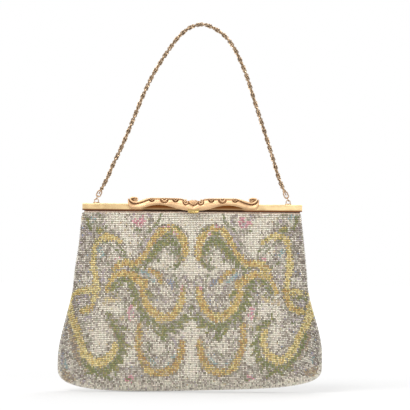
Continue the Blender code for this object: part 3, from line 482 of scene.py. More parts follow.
    ("shade", 0, ((98.5, 31, 7.3), (102.5, 49, 8.2), (105, 73, 8.2))),
    ("shade", 0, ((107, 87.5, 9.1), (110.5, 104, 11), (114, 120.5, 9.1), (115, 135, 8.2))),
    ("shade", 0, ((96, 87.5, 6.4), (92, 98.5, 7.3), (86.5, 107.5, 7.3))),
    ("shade", 0, ((90, 116, 8.2), (86.5, 124, 10), (83, 131, 7.3))),
    ("gold", 0, (
        (86, 79, 4.1), (87.5, 86, 4.1), (91, 92.5, 4.6), (95.5, 95.8, 4.6), (101.5, 97.2, 3.2),
    )),
    ("green", 0, ((93, 85, 1.8), (98.5, 84.5, 2.3), (104.5, 86.5, 2))),
    ("yellow", 0, (
        (108.5, 92, 4.6), (108, 99, 5.9), (106.5, 105.5, 5.9), (103, 112, 5.5), (99.5, 118.5, 5.5),
        (97, 124.5, 5.9), (94, 130.5, 6.4), (89.5, 136.5, 6.4),
    )),
    ("green", 0, ((104.5, 118, 2), (102, 126, 3), (98.5, 134, 3.6), (94, 141, 3.6))),
    ("yellow", 0, ((66, 126.5, 4.1), (65.8, 120, 3.7), (67.5, 114.5, 2.7))),
)


# Sizes and colours that a user would change


def small_length(name, description, default):
    """A length of millimetres that a user may change."""
    return FloatProperty(
        name=name, description=description, default=default, unit="LENGTH", precision=5
    )


def colour_setting(name, description, default):
    """A colour that a user may change."""
    return FloatVectorProperty(
        name=name, description=description, default=default, subtype="COLOR", size=3
    )


class HandbagBeadSettings(bpy.types.PropertyGroup):
    row_pitch: small_length("Row pitch", "Distance between rows of beads", 0.00166)
    bead_pitch: small_length("Bead pitch", "Distance between beads along a row", 0.00134)
    bead_radius: small_length("Bead radius", "Radius of a bead across its hole", 0.00070)
    bead_length: small_length("Bead length", "Length of a bead along its hole", 0.00126)
    cloth_thickness: small_length(
        "Ground cloth", "Thickness of the knitted cloth that carries the beads", 0.0005
    )
    thread_colour: colour_setting(
        "Thread", "Colour of the silk that the beads are knitted with", (0.40, 0.32, 0.235)
    )
    seed: IntProperty(name="Seed", description="Seed of the mixed bead colours", default=11)


class HandbagSatinSettings(bpy.types.PropertyGroup):
    thickness: small_length("Thickness", "Thickness of the satin lining", 0.0005)
    colour: colour_setting("Satin", "Colour of the lining", (0.72, 0.62, 0.46))


class HandbagGiltSettings(bpy.types.PropertyGroup):
    light: colour_setting("Light gilt", "Colour of the burnished gilding", (0.78, 0.58, 0.31))
    deep: colour_setting("Deep gilt", "Colour of the gilding in its hollows", (0.20, 0.08, 0.02))
    roll_swelling: FloatProperty(
        name="Roll swelling", description="How full the clasp's upper roll is", default=1.0,
    )


class HandbagChainSettings(bpy.types.PropertyGroup):
    link_length: small_length("Link length", "Length of one oval link of the rope", 0.0030)
    link_width: small_length("Link width", "Width of one oval link of the rope", 0.0030)
    wire_radius: small_length("Wire radius", "Radius of the link's wire", 0.00043)
    rope_pitch: small_length(
        "Twist pitch", "Length of one full turn of the rope's two strands", 0.0172
    )
    strand_offset: small_length(
        "Strand offset", "Distance from the rope's middle to a strand", 0.00086
    )


class HandbagStageSettings(bpy.types.PropertyGroup):
    camera_distance: FloatProperty(
        name="Camera distance", description="From the camera to the bag", default=3.0,
        unit="LENGTH",
    )
    field_width: FloatProperty(
        name="Field width", description="Width of what the camera sees at the bag",
        default=0.3743, unit="LENGTH",
    )
    roll: FloatProperty(
        name="Camera roll", description="How far the camera leans", default=math.radians(0.5),
        subtype="ANGLE",
    )
    floor_gap: small_length("Floor gap", "From the bag's foot to the floor", 0.0003)


# Helpers for modelling


def start_clean():
    """Object mode with nothing selected."""
    if bpy.context.mode != "OBJECT":
        bpy.ops.object.mode_set(mode="OBJECT")
    bpy.ops.object.select_all(action="DESELECT")


def choose(*objs):
    """Selects only these objects, and makes the first one active."""
    start_clean()
    for obj in objs:
        obj.select_set(True)
    bpy.context.view_layer.objects.active = objs[0]


@contextmanager
def editing(obj):
    """Edit mode with all of an object's mesh selected, and object mode again after it."""
    choose(obj)
    bpy.ops.object.mode_set(mode="EDIT")
    bpy.ops.mesh.select_all(action="SELECT")
    yield
    bpy.ops.object.mode_set(mode="OBJECT")


def add_object(name, data):
    """A new object in the scene, round a mesh, a curve, a lamp or a camera."""
    obj = bpy.data.objects.new(name, data)
    bpy.context.scene.collection.objects.link(obj)
    return obj


def add_primitive(operator, **values):
    """A mesh primitive at its size and place, selected alone."""
    start_clean()
    operator(**values)
    made = bpy.context.view_layer.objects.active
    choose(made)
    return made


def apply_place(obj):
    """Puts an object's place, turn and scale into its mesh."""
    choose(obj)
    bpy.ops.object.transform_apply(location=True, rotation=True, scale=True)


def finish_shape(obj, look, name=None):
    """Applies an object's place to its mesh, smooths it and gives it its material."""
    apply_place(obj)
    bpy.ops.object.shade_smooth_by_angle(angle=math.radians(50))
    obj.data.materials.clear()
    obj.data.materials.append(look)
    if name:
        obj.name = name
        obj.data.name = name
    return obj


def join_shapes(objs, name):
    """Joins objects into the first of them, under a new name."""
    choose(*objs)
    bpy.ops.object.join()
    joined = bpy.context.view_layer.objects.active
    joined.name = name
    joined.data.name = name
    return joined


def apply_modifier(obj, kind, **values):
    """Adds a modifier with its settings and applies it."""
    choose(obj)
    modifier = obj.modifiers.new(kind.title(), kind)
    for key, value in values.items():
        setattr(modifier, key, value)
    bpy.ops.object.modifier_apply(modifier=modifier.name)


def wire(points, radii, closed=False, rounds=3):
    """A round wire along points, as a curve with a bevel made a mesh."""
    curve = bpy.data.curves.new("wire", "CURVE")
    curve.dimensions = "3D"
    curve.bevel_depth = MILLIMETRE
    curve.bevel_resolution = rounds
    curve.use_fill_caps = not closed
    spline = curve.splines.new("POLY")
    spline.points.add(len(points) - 1)
    for point, place, radius in zip(spline.points, points, np.broadcast_to(radii, len(points))):
        point.co = (*place, 1)
        point.radius = radius / MILLIMETRE
    spline.use_cyclic_u = closed
    choose(add_object("wire", curve))
    bpy.ops.object.convert(target="MESH")
    made = bpy.context.view_layer.objects.active
    with editing(made):
        bpy.ops.mesh.remove_doubles(threshold=1e-6)
        bpy.ops.mesh.normals_make_consistent(inside=False)
    return made


def mesh_object(name, points, faces):
    """A new object of points and of faces between them."""
    mesh = bpy.data.meshes.new(name)
    mesh.from_pydata([tuple(point) for point in points], [], [tuple(face) for face in faces])
    mesh.update()
    return add_object(name, mesh)


def copy_places(spots, *axes):
    """The 4 x 4 places of copies, from their middles and their three axes."""
    places = np.zeros((len(spots), 4, 4))
    for k, column in enumerate((*axes, spots)):
        places[:, :3, k] = column
    places[:, 3, 3] = 1
    return places


def many_copies(name, source, places, colours=None, cells=None):
    """One mesh of many copies of a small source mesh, each at its own 4 x 4 place, with its
    own colour and its own cell of the map."""
    mesh = source.data
    count = len(mesh.vertices)
    shape = np.ones((count, 4))
    shape[:, :3] = np.array([v.co for v in mesh.vertices])
    loops = np.array([loop.vertex_index for loop in mesh.loops])
    starts = np.array([face.loop_start for face in mesh.polygons])
    total = len(places)
    points = np.einsum("nij,vj->nvi", places, shape)[:, :, :3].reshape(-1, 3)
    made = bpy.data.meshes.new(name)
    made.vertices.add(total * count)
    made.vertices.foreach_set("co", points.astype(np.float32).ravel())
    made.loops.add(total * len(loops))
    shifted = loops[None, :] + (np.arange(total) * count)[:, None]
    made.loops.foreach_set("vertex_index", shifted.astype(np.int32).ravel())
    made.polygons.add(total * len(starts))
    begins = starts[None, :] + (np.arange(total) * len(loops))[:, None]
    made.polygons.foreach_set("loop_start", begins.astype(np.int32).ravel())
    made.update(calc_edges=True)
    if colours is not None:
        attribute = made.attributes.new("bead_colour", "FLOAT_COLOR", "POINT")
        rgba = np.ones((total, count, 4), np.float32)
        rgba[:, :, :3] = colours[:, None, :]
        attribute.data.foreach_set("color", rgba.ravel())
    if cells is not None:
        flat = np.array([entry.uv for entry in mesh.uv_layers[0].data])
        layer = made.uv_layers.new(name="UVMap")
        uv = cells[:, None, :2] + flat[None, :, :] * cells[:, None, 2:]
        layer.data.foreach_set("uv", uv.astype(np.float32).ravel())
    made.shade_smooth()
    made.validate()
    return add_object(name, made)


# Curves and lines


def ease(share):
    """0 up to 0 and 1 from 1 on, smooth between."""
    share = np.clip(share, 0, 1)
    return share * share * (3 - 2 * share)


def rise(value, start, end):
    """0 at the start and 1 at the end, smooth between, also where the end is the lower one."""
    return ease((value - start) / (end - start))


def unit(vectors):
    """The directions of vectors, each of length one."""
    return vectors / np.maximum(np.linalg.norm(vectors, axis=-1, keepdims=True), 1e-12)


def run_lengths(points):
    """The distance along a line of points to each of them."""
    steps = np.linalg.norm(np.diff(points, axis=0), axis=1)
    return np.concatenate([[0], np.cumsum(steps)])


def points_along(line, run, places):
    """Points on a line, at places along its run."""
    return np.stack([np.interp(places, run, line[:, k]) for k in range(3)], 1)


def smooth_line(points, parts=8):
    """A smooth curve through points of any number of values."""
    points = np.asarray(points, float)
    ends = np.concatenate([[2 * points[0] - points[1]], points, [2 * points[-1] - points[-2]]])
    a, b, c, d = ends[:-3, None], ends[1:-2, None], ends[2:-1, None], ends[3:, None]
    t = (np.arange(parts) / parts)[None, :, None]
    curve = 2 * b + (c - a) * t + (2 * a - 5 * b + 4 * c - d) * t * t
    curve = (curve + (3 * b - a - 3 * c + d) * t * t * t) / 2
    return np.concatenate([curve.reshape(-1, points.shape[1]), points[-1:]])


# Materials


def set_sockets(tree, node, sockets):
    """Sets a node's inputs to values, or links them to the outputs of other nodes."""
    for key, value in sockets.items():
        if isinstance(value, bpy.types.NodeSocket):
            tree.links.new(value, node.inputs[key])
        else:
            node.inputs[key].default_value = value


def add_node(tree, kind, sockets=None, **settings):
    """A new shader node with its settings and its sockets."""
    node = tree.nodes.new(f"ShaderNode{kind}")
    for key, value in settings.items():
        setattr(node, key, value)
    set_sockets(tree, node, sockets or {})
    return node


def plain_material(name, colour, roughness, metallic=0.0):
    """A new material, its node tree and its shader."""
    made = bpy.data.materials.new(name)
    made.use_nodes = True
    tree = made.node_tree
    shader = tree.nodes["Principled BSDF"]
    set_sockets(tree, shader, {
        "Base Color": (*colour, 1), "Roughness": roughness, "Metallic": metallic,
    })
    return made, tree, shader


def object_place(tree, scale=(1, 1, 1)):
    """The place on the object in metres, stretched by a Mapping node."""
    place = add_node(tree, "TexCoord").outputs["Object"]
    return add_node(tree, "Mapping", {"Vector": place, "Scale": scale}).outputs["Vector"]


def noise(tree, vector, scale, detail=3.0, roughness=0.55):
    """A noise that varies about a half over the object's place."""
    sockets = {"Vector": vector, "Scale": scale, "Detail": detail, "Roughness": roughness}
    return add_node(tree, "TexNoise", sockets).outputs["Fac"]


def ramp(tree, factor, *stops):
    """A colour ramp between two stops, each a position and a colour."""
    node = add_node(tree, "ValToRGB", {"Fac": factor})
    for element, (position, colour) in zip(node.color_ramp.elements, stops):
        element.position = position
        element.color = (*colour, 1)
    return node.outputs["Color"]


def levels(tree, factor, low, high):
    """Stretches a noise about its middle to run from low to high."""
    sockets = {"Value": factor, "From Min": 0.3, "From Max": 0.7, "To Min": low, "To Max": high}
    return add_node(tree, "MapRange", sockets).outputs["Result"]


def soft_step(tree, value, start, end, low=0.0, high=1.0):
    """Low where a value is at its start, high at its end, smooth between."""
    sockets = {"Value": value, "From Min": start, "From Max": end, "To Min": low, "To Max": high}
    return add_node(tree, "MapRange", sockets, interpolation_type="SMOOTHSTEP").outputs["Result"]


def blended(tree, share, first, second, blend_type="MIX"):
    """The first colour where the share is 0, blended with the second where it is 1."""
    if isinstance(second, tuple):
        second = (*second, 1)
    sockets = {"Factor": share, "A": first, "B": second}
    node = add_node(tree, "Mix", sockets, data_type="RGBA", blend_type=blend_type)
    return node.outputs["Result"]


def arithmetic(tree, operation, first, second=0.0):
    """The outcome of a Math node between two values."""
    return add_node(tree, "Math", {0: first, 1: second}, operation=operation).outputs["Value"]


def bump(tree, shader, height, strength, distance):
    """Roughens a shader's surface by a height."""
    sockets = {"Height": height, "Strength": strength, "Distance": distance}
    normal = add_node(tree, "Bump", sockets).outputs["Normal"]
    set_sockets(tree, shader, {"Normal": normal})


def seen_strength(tree, lighting, seen):
    """One strength for the light that falls on things, and one for what the camera, mirror and
    see-through rays see."""
    path = add_node(tree, "LightPath")
    looking = path.outputs["Is Camera Ray"]
    for ray in ("Is Glossy Ray", "Is Transmission Ray"):
        looking = arithmetic(tree, "MAXIMUM", looking, path.outputs[ray])
    sockets = {"Value": looking, "To Min": lighting, "To Max": seen}
    return add_node(tree, "MapRange", sockets).outputs["Result"]


def add_seen_light(tree, shader):
    """Brightens the floor for the camera and for mirror rays, more so further off, so that it
    reads as white and still keeps the bag's shadow."""
    away = add_node(tree, "VectorMath", {0: object_place(tree)}, operation="LENGTH")
    spread = soft_step(tree, away.outputs["Value"], *GLOW_REACH, *FLOOR_GLOW)
    seen = arithmetic(tree, "MULTIPLY", seen_strength(tree, 0.0, 1.0), spread)
    glow = add_node(tree, "Emission", {"Strength": seen})
    both = add_node(tree, "AddShader", {0: shader.outputs["BSDF"], 1: glow.outputs["Emission"]})
    set_sockets(tree, tree.nodes["Material Output"], {"Surface": both.outputs["Shader"]})


def glass_bead_material():
    """Glass seed beads: each bead's own colour, a little uneven, under a bright gloss."""
    made, tree, shader = plain_material("Glass beads", (0.6, 0.55, 0.45), 0.32)
    own = add_node(tree, "Attribute", attribute_name="bead_colour").outputs["Color"]
    vector = object_place(tree)
    clouds = ramp(tree, noise(tree, vector, 900), (0.3, (0.9, 0.9, 0.9)), (0.7, (1.0, 1.0, 1.0)))
    set_sockets(tree, shader, {
        "Base Color": blended(tree, 1.0, own, clouds, "MULTIPLY"),
        "Roughness": levels(tree, noise(tree, vector, 420), 0.24, 0.44),
        "Specular IOR Level": 0.45,
        "Coat Weight": 0.12,
        "Coat Roughness": 0.2,
    })
    return made


def thread_material(colour):
    """The knitted silk under the beads: fine ribs across the rows, dull and shaded, with a
    paler bound edge and a dark brown painted shadow under the bar."""
    made, tree, shader = plain_material("Knitted silk ground", colour, 0.85)
    vector = object_place(tree)
    height = add_node(tree, "SeparateXYZ", {"Vector": vector}).outputs["Z"]
    edge = PLACE.z - BAR_FOOT - HEADING
    bound = soft_step(tree, height, edge - 0.0003, edge + 0.0001)
    bar_shadow = soft_step(tree, height, edge + 0.0008, edge + 0.0011)
    dark = tuple(0.55 * part for part in colour)
    knitted = ramp(tree, noise(tree, vector, 1400), (0.3, dark), (0.75, colour))
    stitched = ramp(
        tree, noise(tree, object_place(tree, (1, 1, 0.2)), 900),
        (0.35, (0.70, 0.50, 0.38)), (0.65, (0.98, 0.80, 0.64)),
    )
    cloth = blended(tree, bound, knitted, stitched)
    # Painted shadow of the bar along the cloth's top strip
    cloth = blended(tree, bar_shadow, cloth, (0.09, 0.045, 0.025))
    ribs = add_node(
        tree, "TexWave", {"Vector": vector, "Scale": 380, "Distortion": 1.5, "Detail Scale": 3},
        bands_direction="Z",
    )
    bump(tree, shader, ribs.outputs["Fac"], 0.5, 0.0002)
    set_sockets(tree, shader, {"Base Color": cloth, "Sheen Weight": 0.2})
    return made


def satin_material(name, colour):
    """Satin: a soft sheen, a fine weave across it and faint creases, painted as soft darker patches
    of shade.
    """
    made, tree, shader = plain_material(name, colour, 0.42)
    # The darker patches stand for the shade in faint creases: painted shade
    dark = tuple(0.80 * part for part in colour)
    creases = noise(tree, object_place(tree), 60)
    weave = noise(tree, object_place(tree, (1, 1, 14)), 1600, 2)
    bump(tree, shader, weave, 0.25, 0.0001)
    set_sockets(tree, shader, {
        "Base Color": ramp(tree, creases, (0.3, dark), (0.7, colour)),
        "Roughness": levels(tree, weave, 0.34, 0.52),
        "Sheen Weight": 0.35,
        "Sheen Roughness": 0.35,
        "Anisotropic": 0.35,
    })
    return made


def gilt_material(name, light, deep, roughness, brush=(40, 900, 900), hollows=False):
    """Gilded metal: brushed along its length, warmer and duller where it is worn, and with
    hollows set, darkened by painted shade in its hollows.
    """
    made, tree, shader = plain_material(name, light, roughness, 1.0)
    warm = tuple(0.72 * a + 0.28 * b for a, b in zip(light, deep))
    gilding = ramp(tree, noise(tree, object_place(tree), 130, 5), (0.34, warm), (0.62, light))
    # Painted shade: the gilding runs to the deep colour where the hollows are marked
    if hollows:
        recess_shade = add_node(tree, "Attribute", attribute_name="recess_shade").outputs["Fac"]
        gilding = blended(tree, recess_shade, gilding, deep)
    brushed = noise(tree, object_place(tree, brush), 1.0, 2)
    bump(tree, shader, brushed, 0.12, 0.00005)
    set_sockets(tree, shader, {
        "Base Color": gilding,
        "Roughness": levels(tree, brushed, roughness - 0.07, roughness + 0.09),
    })
    return made


def paint_shade_behind_clasp(tree):
    """Paints shade into the bar's gilding: on its outer face behind the clasp, where the ornament
    would shade it, a painted shadow line along its foot, and the darkest shadow where they meet."""
    shader = tree.nodes["Principled BSDF"]
    gilding = shader.inputs["Base Color"].links[0].from_socket
    place = add_node(tree, "SeparateXYZ", {"Vector": object_place(tree)}).outputs
    off = arithmetic(tree, "SUBTRACT", place["X"], PLACE.x + CLASP_SHIFT * MILLIMETRE)
    behind = soft_step(tree, arithmetic(tree, "ABSOLUTE", off), *SHADE_HALF_WIDTH)
    face = PLACE.y - BAR_FRONT
    outside = soft_step(tree, place["Y"], face + 0.0007, face + 0.0002)
    behind = arithmetic(tree, "MULTIPLY", behind, outside)
    drop = arithmetic(tree, "SUBTRACT", PLACE.z, place["Z"])
    hollow = arithmetic(tree, "MULTIPLY", behind, soft_step(tree, drop, *SHADE_DROP))
    foot_shadow = soft_step(tree, drop, *FOOT_SHADOW_DROP)
    under = arithmetic(tree, "MULTIPLY", behind, foot_shadow)
    # Painted shade behind the clasp, a painted shadow line along the foot, near black where they
    # meet
    for share, colour in (
        (hollow, (0.15, 0.050, 0.012)), (foot_shadow, (0.15, 0.052, 0.02)),
        (under, (0.02, 0.008, 0.004)),
    ):
        gilding = blended(tree, share, gilding, colour)
    set_sockets(tree, shader, {"Base Color": gilding})


def paint_hollow_shade(obj, reach, rays=16):
    """Marks how far each point of a cast or linked piece lies in a hollow, from 0 to 1, by
    the share of short rays from it that meet the piece again, as painted shade for its gilding."""
    mesh = obj.data
    tree = BVHTree.FromPolygons(
        [v.co for v in mesh.vertices], [tuple(face.vertices) for face in mesh.polygons]
    )
    fan = []
    for k in range(rays):
        height = (k + 0.5) / rays
        turn = k * math.pi * (3 - math.sqrt(5))
        flat = math.sqrt(1 - height * height)
        fan.append(Vector((flat * math.cos(turn), flat * math.sin(turn), height)))
    values = np.zeros(len(mesh.vertices), np.float32)
    for k, vert in enumerate(mesh.vertices):
        turned = vert.normal.to_track_quat("Z", "Y")
        start = vert.co + vert.normal * RAY_START
        met = sum(tree.ray_cast(start, turned @ ray, reach)[0] is not None for ray in fan)
        values[k] = met / rays
    attribute = mesh.attributes.new("recess_shade", "FLOAT", "POINT")
    attribute.data.foreach_set("value", np.clip(values * HOLLOW_SHADE_GAIN - HOLLOW_SHADE_LOSS, 0, 1))


# The cloth's shape


def widening(drop):
    """How far the pouch has widened below its hinges, from 0 to 1."""
    return rise(drop, HINGE_DROP, WIDEST_DROP)


def leaning(drop):
    """How far the cloth lies to the left of the solids."""
    return LEAN * ease((drop - LEAN_START) / LEAN_RUN)


def half_width(drop):
    """Half the pouch's width at a drop, as the solids have it."""
    skirt = np.clip((drop - BAR_FOOT) / (HINGE_DROP - BAR_FOOT), 0, 1)
    upper = TUCKED_HALF + (HINGE_WIDTH / 2 - TUCKED_HALF) * skirt
    return upper + (POUCH_WIDTH - HINGE_WIDTH) / 2 * widening(drop)


def foot_drop(across):
    """The pouch's lower edge, with its rounded corners; across runs from -1 to 1."""
    left = np.asarray(across) < 0
    power = np.where(left, LEFT_CORNER_POWER, CORNER_POWER)
    start = np.where(left, LEFT_CORNER_DROP, CORNER_DROP)
    rounding = np.clip(1 - np.abs(across) ** power, 0, 1) ** (1 / power)
    return start + (POUCH_DROP - start) * rounding


def fullness(across, drop, foot):
    """How far the pouch's outside stands from the parting plane."""
    skirt = np.clip((drop - BAR_FOOT) / (HINGE_DROP - BAR_FOOT), 0, 1)
    edge = TUCK_FULLNESS + (EDGE_FULLNESS - TUCK_FULLNESS) * skirt
    edge = edge + (SEAM_FULLNESS - EDGE_FULLNESS) * ease((drop - HINGE_DROP) / SEAM_RUN)
    middle = TUCK_FULLNESS + (HINGE_FULLNESS - TUCK_FULLNESS) * skirt
    belly = rise(drop, HINGE_DROP, BELLY_DROP)
    middle = middle + (BELLY_FULLNESS - HINGE_FULLNESS) * belly
    dome = np.clip(1 - np.abs(across) ** DOME_POWER, 0, 1) ** DOME_ROUNDNESS
    start = HINGE_DROP + (foot - HINGE_DROP) * FLOOR_START_SHARE
    floor = np.sqrt(1 - np.clip((drop - start) / (foot - start), 0, 1) ** 2)
    return edge + (middle - edge) * dome * floor


def cloth_points(side, across, level, inset=0.0, sink=0.0):
    """Points on one side of the cloth. Level is the drop at the middle of the bag; towards
    the corners a row near the foot rises with the foot's edge."""
    across, level = np.broadcast_arrays(across, level)
    foot = foot_drop(across) - inset - sink
    middle_foot = POUCH_DROP - inset - sink
    following = np.clip((level - HINGE_DROP) / (middle_foot - HINGE_DROP), 0, 1) ** FOOT_FOLLOWING
    drop = level - (middle_foot - foot) * following
    x = across * (half_width(drop) + FILLING * ease(drop / HINGE_DROP) - inset - sink)
    bulge = ease((drop - BAR_FOOT) / BULGE_RISE) * ease((BULGE_END - drop) / BULGE_FALL)
    x = x - LEFT_BULGE * bulge * ease(-across)
    seam = np.clip((drop - foot + FOOT_RUN) / FOOT_RUN, 0, 1)
    rounding = np.clip(1 - np.abs(across) ** SIDE_ROUNDING, 0, 1) ** (1 / SIDE_ROUNDING)
    rounding = rounding * np.clip(1 - seam ** FOOT_ROUNDING, 0, 1) ** (1 / FOOT_ROUNDING)
    below = ease((level - HINGE_DROP + BEND_ABOVE) / (BEND_ABOVE + BEND_BELOW))
    edge = SKIRT_EDGE + (SEAM_EDGE - SKIRT_EDGE) * below
    reach = fullness(across, drop, foot) - sink
    y = side * (edge + (reach - edge) * rounding)
    lift = FOOT_TILT * widening(drop) * x / (POUCH_WIDTH / 2)
    return np.stack([x - leaning(drop), y, lift - drop], axis=-1)


def even_across(count, crowding=6):
    """Places from -1 to 1 that crowd towards both ends, where the cloth turns sharply."""
    share = np.linspace(-1, 1, count)
    return np.sign(share) * (1 - (1 - np.abs(share)) ** crowding)


def foot_levels(count, crowding=3):
    """Levels from the bar's foot to the pouch's that crowd towards the pouch's foot."""
    share = np.linspace(0, 1, count)
    return BAR_FOOT + (POUCH_DROP - BAR_FOOT) * (1 - (1 - share) ** crowding)


def bead_places(side, settings):
    """Each bead's middle, along-row direction and outward direction, its row and its number
    along the row, and then the rows' levels."""
    across = even_across(801)
    fine = foot_levels(3001)
    lengths = run_lengths(cloth_points(side, 0.0, fine))
    count = int((lengths[-1] - HEADING) / settings.row_pitch)
    wanted = HEADING + (np.arange(count) + 0.5) * (lengths[-1] - HEADING) / count
    rows = np.interp(wanted, lengths, fine)

    # Directions are taken between points this far before and behind
    step = 0.0003
    spots, alongs, outs, numbers = [], [], [], []
    for j, level in enumerate(rows):
        line = cloth_points(side, across, level)
        run = run_lengths(line)
        run = run - np.interp(0.0, across, run)
        last = int(min(-run[0], run[-1]) / settings.bead_pitch - 0.4)
        places = (np.arange(-last, last) + 0.5) * settings.bead_pitch
        above = cloth_points(side, across, level - step)
        below = cloth_points(side, across, min(level + step, POUCH_DROP - 1e-6))
        back, ahead = (points_along(line, run, places + off) for off in (-step, step))
        along = unit(ahead - back)
        down = points_along(below, run, places) - points_along(above, run, places)
        out = unit(side * np.cross(along, down))
        spots.append(points_along(line, run, places) - out * settings.bead_radius)
        alongs.append(along)
        outs.append(out)
        numbers.append(np.stack([np.full(len(places), j), np.arange(-last, last)], 1))
    return [np.concatenate(part) for part in (spots, alongs, outs, numbers)] + [rows]


# The beads' pattern

# The teeth along a stroke's edge: how long they are in each mix and their pitch in millimetres,
# and how far the edge is drawn in to leave room for them
SERRATION = {"gold": 1.9, "yellow": 1.9, "amber": 1.7, "green": 0.8, "olive": 0.8}
TOOTH_PITCH = 3.6
DRAWN_IN = {"gold": 0.1, "yellow": 0.1, "amber": 0.1, "green": 0.2}

# How ragged the edges of soft strokes are, where the others' are 1
RAGGEDNESS = {"shade": 7.0, "earth": 2.4}

# Pointed lobes on one side of a stroke, in millimetres: the leaves of the green scrolls, and
# the fine lines that spring from the golden ones
LEAVES = {"length": 8.5, "pitch": 6.8, "lean": -0.6, "point": 1.1}
FINE_LINES = {"length": 7.5, "pitch": 5.0, "lean": -0.8, "point": 2.0}

# Beads are veins or pale where the curling wave is this near to zero
VEIN_BAND = 0.32
PALE_BAND = 1.0

# In millimetres: how far the upper scrolls lie lower than they are written, how far the right
# side's lower outer scroll lies nearer the middle, and how far the right side strays
UPPER_DROP = 2.6
RIGHT_SHIFT = 3.0
STRAYING = 0.6

# How much darker, as painted shade, the beads are along the side seams than in the middle, above
# and below
SEAM_SHADE = (0.11, 0.25)


def linear(colour):
    """A screen colour from 0 to 255 as a linear colour from 0 to 1."""
    share = np.asarray(colour, float) / 255
    return np.where(share <= 0.04045, share / 12.92, ((share + 0.055) / 1.055) ** 2.4)


def slow_waves(places, chooser, count=10, low=0.02, high=0.09):
    """A smooth random field from about -1 to 1 over places in millimetres."""
    field = np.zeros(len(places))
    for _ in range(count):
        turn = chooser.uniform(0, 2 * math.pi)
        pace = 2 * math.pi * chooser.uniform(low, high)
        heading = np.array([math.cos(turn), math.sin(turn)]) * pace
        field += np.sin(places @ heading + chooser.uniform(0, 2 * math.pi))
    return field / math.sqrt(count / 2)


def stroke_gaps(spots, line):
    """Each place's distance outside a stroke, on which side of it, and how far along it."""
    curve = smooth_line(line)
    reach = ((spots[:, None, :] - curve[None, :, :2]) ** 2).sum(2)
    nearest = reach.argmin(1)
    heading = np.gradient(curve[:, :2], axis=0)[nearest]
    offset = spots - curve[nearest, :2]
    side = np.sign(heading[:, 0] * offset[:, 1] - heading[:, 1] * offset[:, 0])
    distance = np.sqrt(reach[np.arange(len(spots)), nearest])
    return distance - curve[nearest, 2] / 2, side, run_lengths(curve[:, :2])[nearest]


def lobed_gap(gap, side, along, length, pitch, lean, point):
    """How far each place is outside a row of pointed lobes on one side of a stroke."""
    phase = (along + lean * np.clip(gap, 0, length)) / pitch
    number = np.floor(phase)
    reach = length * (0.85 + 0.3 * np.sin(number * 2.4))
    middle = 1 - np.abs(2 * (phase - number) - 1)
    return np.where(side > 0, gap - reach * middle ** point, gap)


def mirrored_places(spots, chooser):
    """Where each place, in millimetres, reads the strokes of the left half. The tilted foot
    parts the two halves by twice its tilt, and the right one strays a little."""
    mirrored = spots.copy()
    across, down = spots[:, 0], spots[:, 1]

    # The upper scrolls, between the bar and the arches and left of the right seam
    upper = rise(down, 0, 15) * rise(down, 60, 35)
    mirrored[:, 1] -= UPPER_DROP * upper * rise(across, 85, 65)

    # The right side's lower outer scroll, and its side of the tilted foot
    right = across > 0
    low = widening(down / 1000)[right]
    outer = rise(across[right], 50, 70)
    mirrored[right, 0] = -across[right] - RIGHT_SHIFT * low * outer
    mirrored[right, 1] += 2000 * FOOT_TILT * low * across[right] / (500 * POUCH_WIDTH)
    sway = np.stack([slow_waves(spots, chooser, 6, 0.004, 0.012) for _ in range(2)], 1)
    mirrored[right] += STRAYING * sway[right]
    return mirrored


def chosen_mixes(spots, chooser):
    """The number of each bead's mix in BEAD_MIXES, from its place in millimetres."""
    mirrored = mirrored_places(spots, chooser)
    numbers = {name: k for k, name in enumerate(BEAD_MIXES)}
    count = len(spots)
    chosen = np.full(count, numbers["plain"])
    strokes = []
    for mix, lobed, line in SCROLL_STROKES:
        seen = spots if line[0][0] > 0 else mirrored
        strokes.append((mix, lobed, *stroke_gaps(seen, line)))

    # Fine curling veins round the scrolls, which fade out into plain cream
    leaves = np.min([gap for mix, _, gap, _, _ in strokes if mix in SERRATION], axis=0)
    cream = np.min([gap for mix, _, gap, _, _ in strokes if mix == "plain"], axis=0)
    curls = slow_waves(mirrored, chooser, 48, 0.13, 0.27)
    near = np.clip(1.3 - leaves / 20, 0.5, 1) * np.clip((cream + 2.5) / 6, 0.02, 1)
    patchy = 0.85 + 0.2 * slow_waves(mirrored, chooser, 10, 0.01, 0.04)
    chosen[np.abs(curls) < PALE_BAND * near * patchy] = numbers["pale"]
    veined = (np.abs(curls) < VEIN_BAND * near * patchy) & (chooser.random(count) < 0.92)
    chosen[veined | (chooser.random(count) < 0.02 + 0.05 * near)] = numbers["veins"]

    # Fine lines that spring from the golden scrolls, on both sides
    for mix, _, gap, side, along in strokes:
        if mix in ("gold", "yellow", "amber"):
            for hand in (LEFT, RIGHT):
                line = lobed_gap(gap, side * hand, along, **FINE_LINES)
                here = (side * hand > 0) & (line < 0) & (cream > 2)
                chosen[here & (chooser.random(count) < 0.6)] = numbers["veins"]

    # The strokes themselves, each over those before it
    ragged = chooser.normal(0, 0.32, count)
    for mix, lobed, gap, side, along in strokes:
        if mix == "plain":
            continue
        if mix in SERRATION:
            tooth = along / TOOTH_PITCH
            gap = gap + DRAWN_IN.get(mix, 0) - SERRATION[mix] * (1 - (tooth - np.floor(tooth)))
            if lobed:
                gap = lobed_gap(gap, side * lobed, along, **LEAVES)
            edge = (gap > 0) & (gap < 1.5) & (chooser.random(count) < 0.5)
            chosen[edge] = numbers["veins"]
        inside = gap + ragged * RAGGEDNESS.get(mix, 1.0) < 0
        if mix == "shade":
            chosen[inside] = numbers["pale"]
            inside &= (np.abs(curls) < 0.85) | (chooser.random(count) < 0.25)
        if mix == "green":
            streak = (np.abs(curls) < 0.26) & (chooser.random(count) < 0.5)
            chosen[inside & streak] = numbers["veins"]
            inside &= ~streak
        chosen[inside] = numbers[mix]
    return chosen


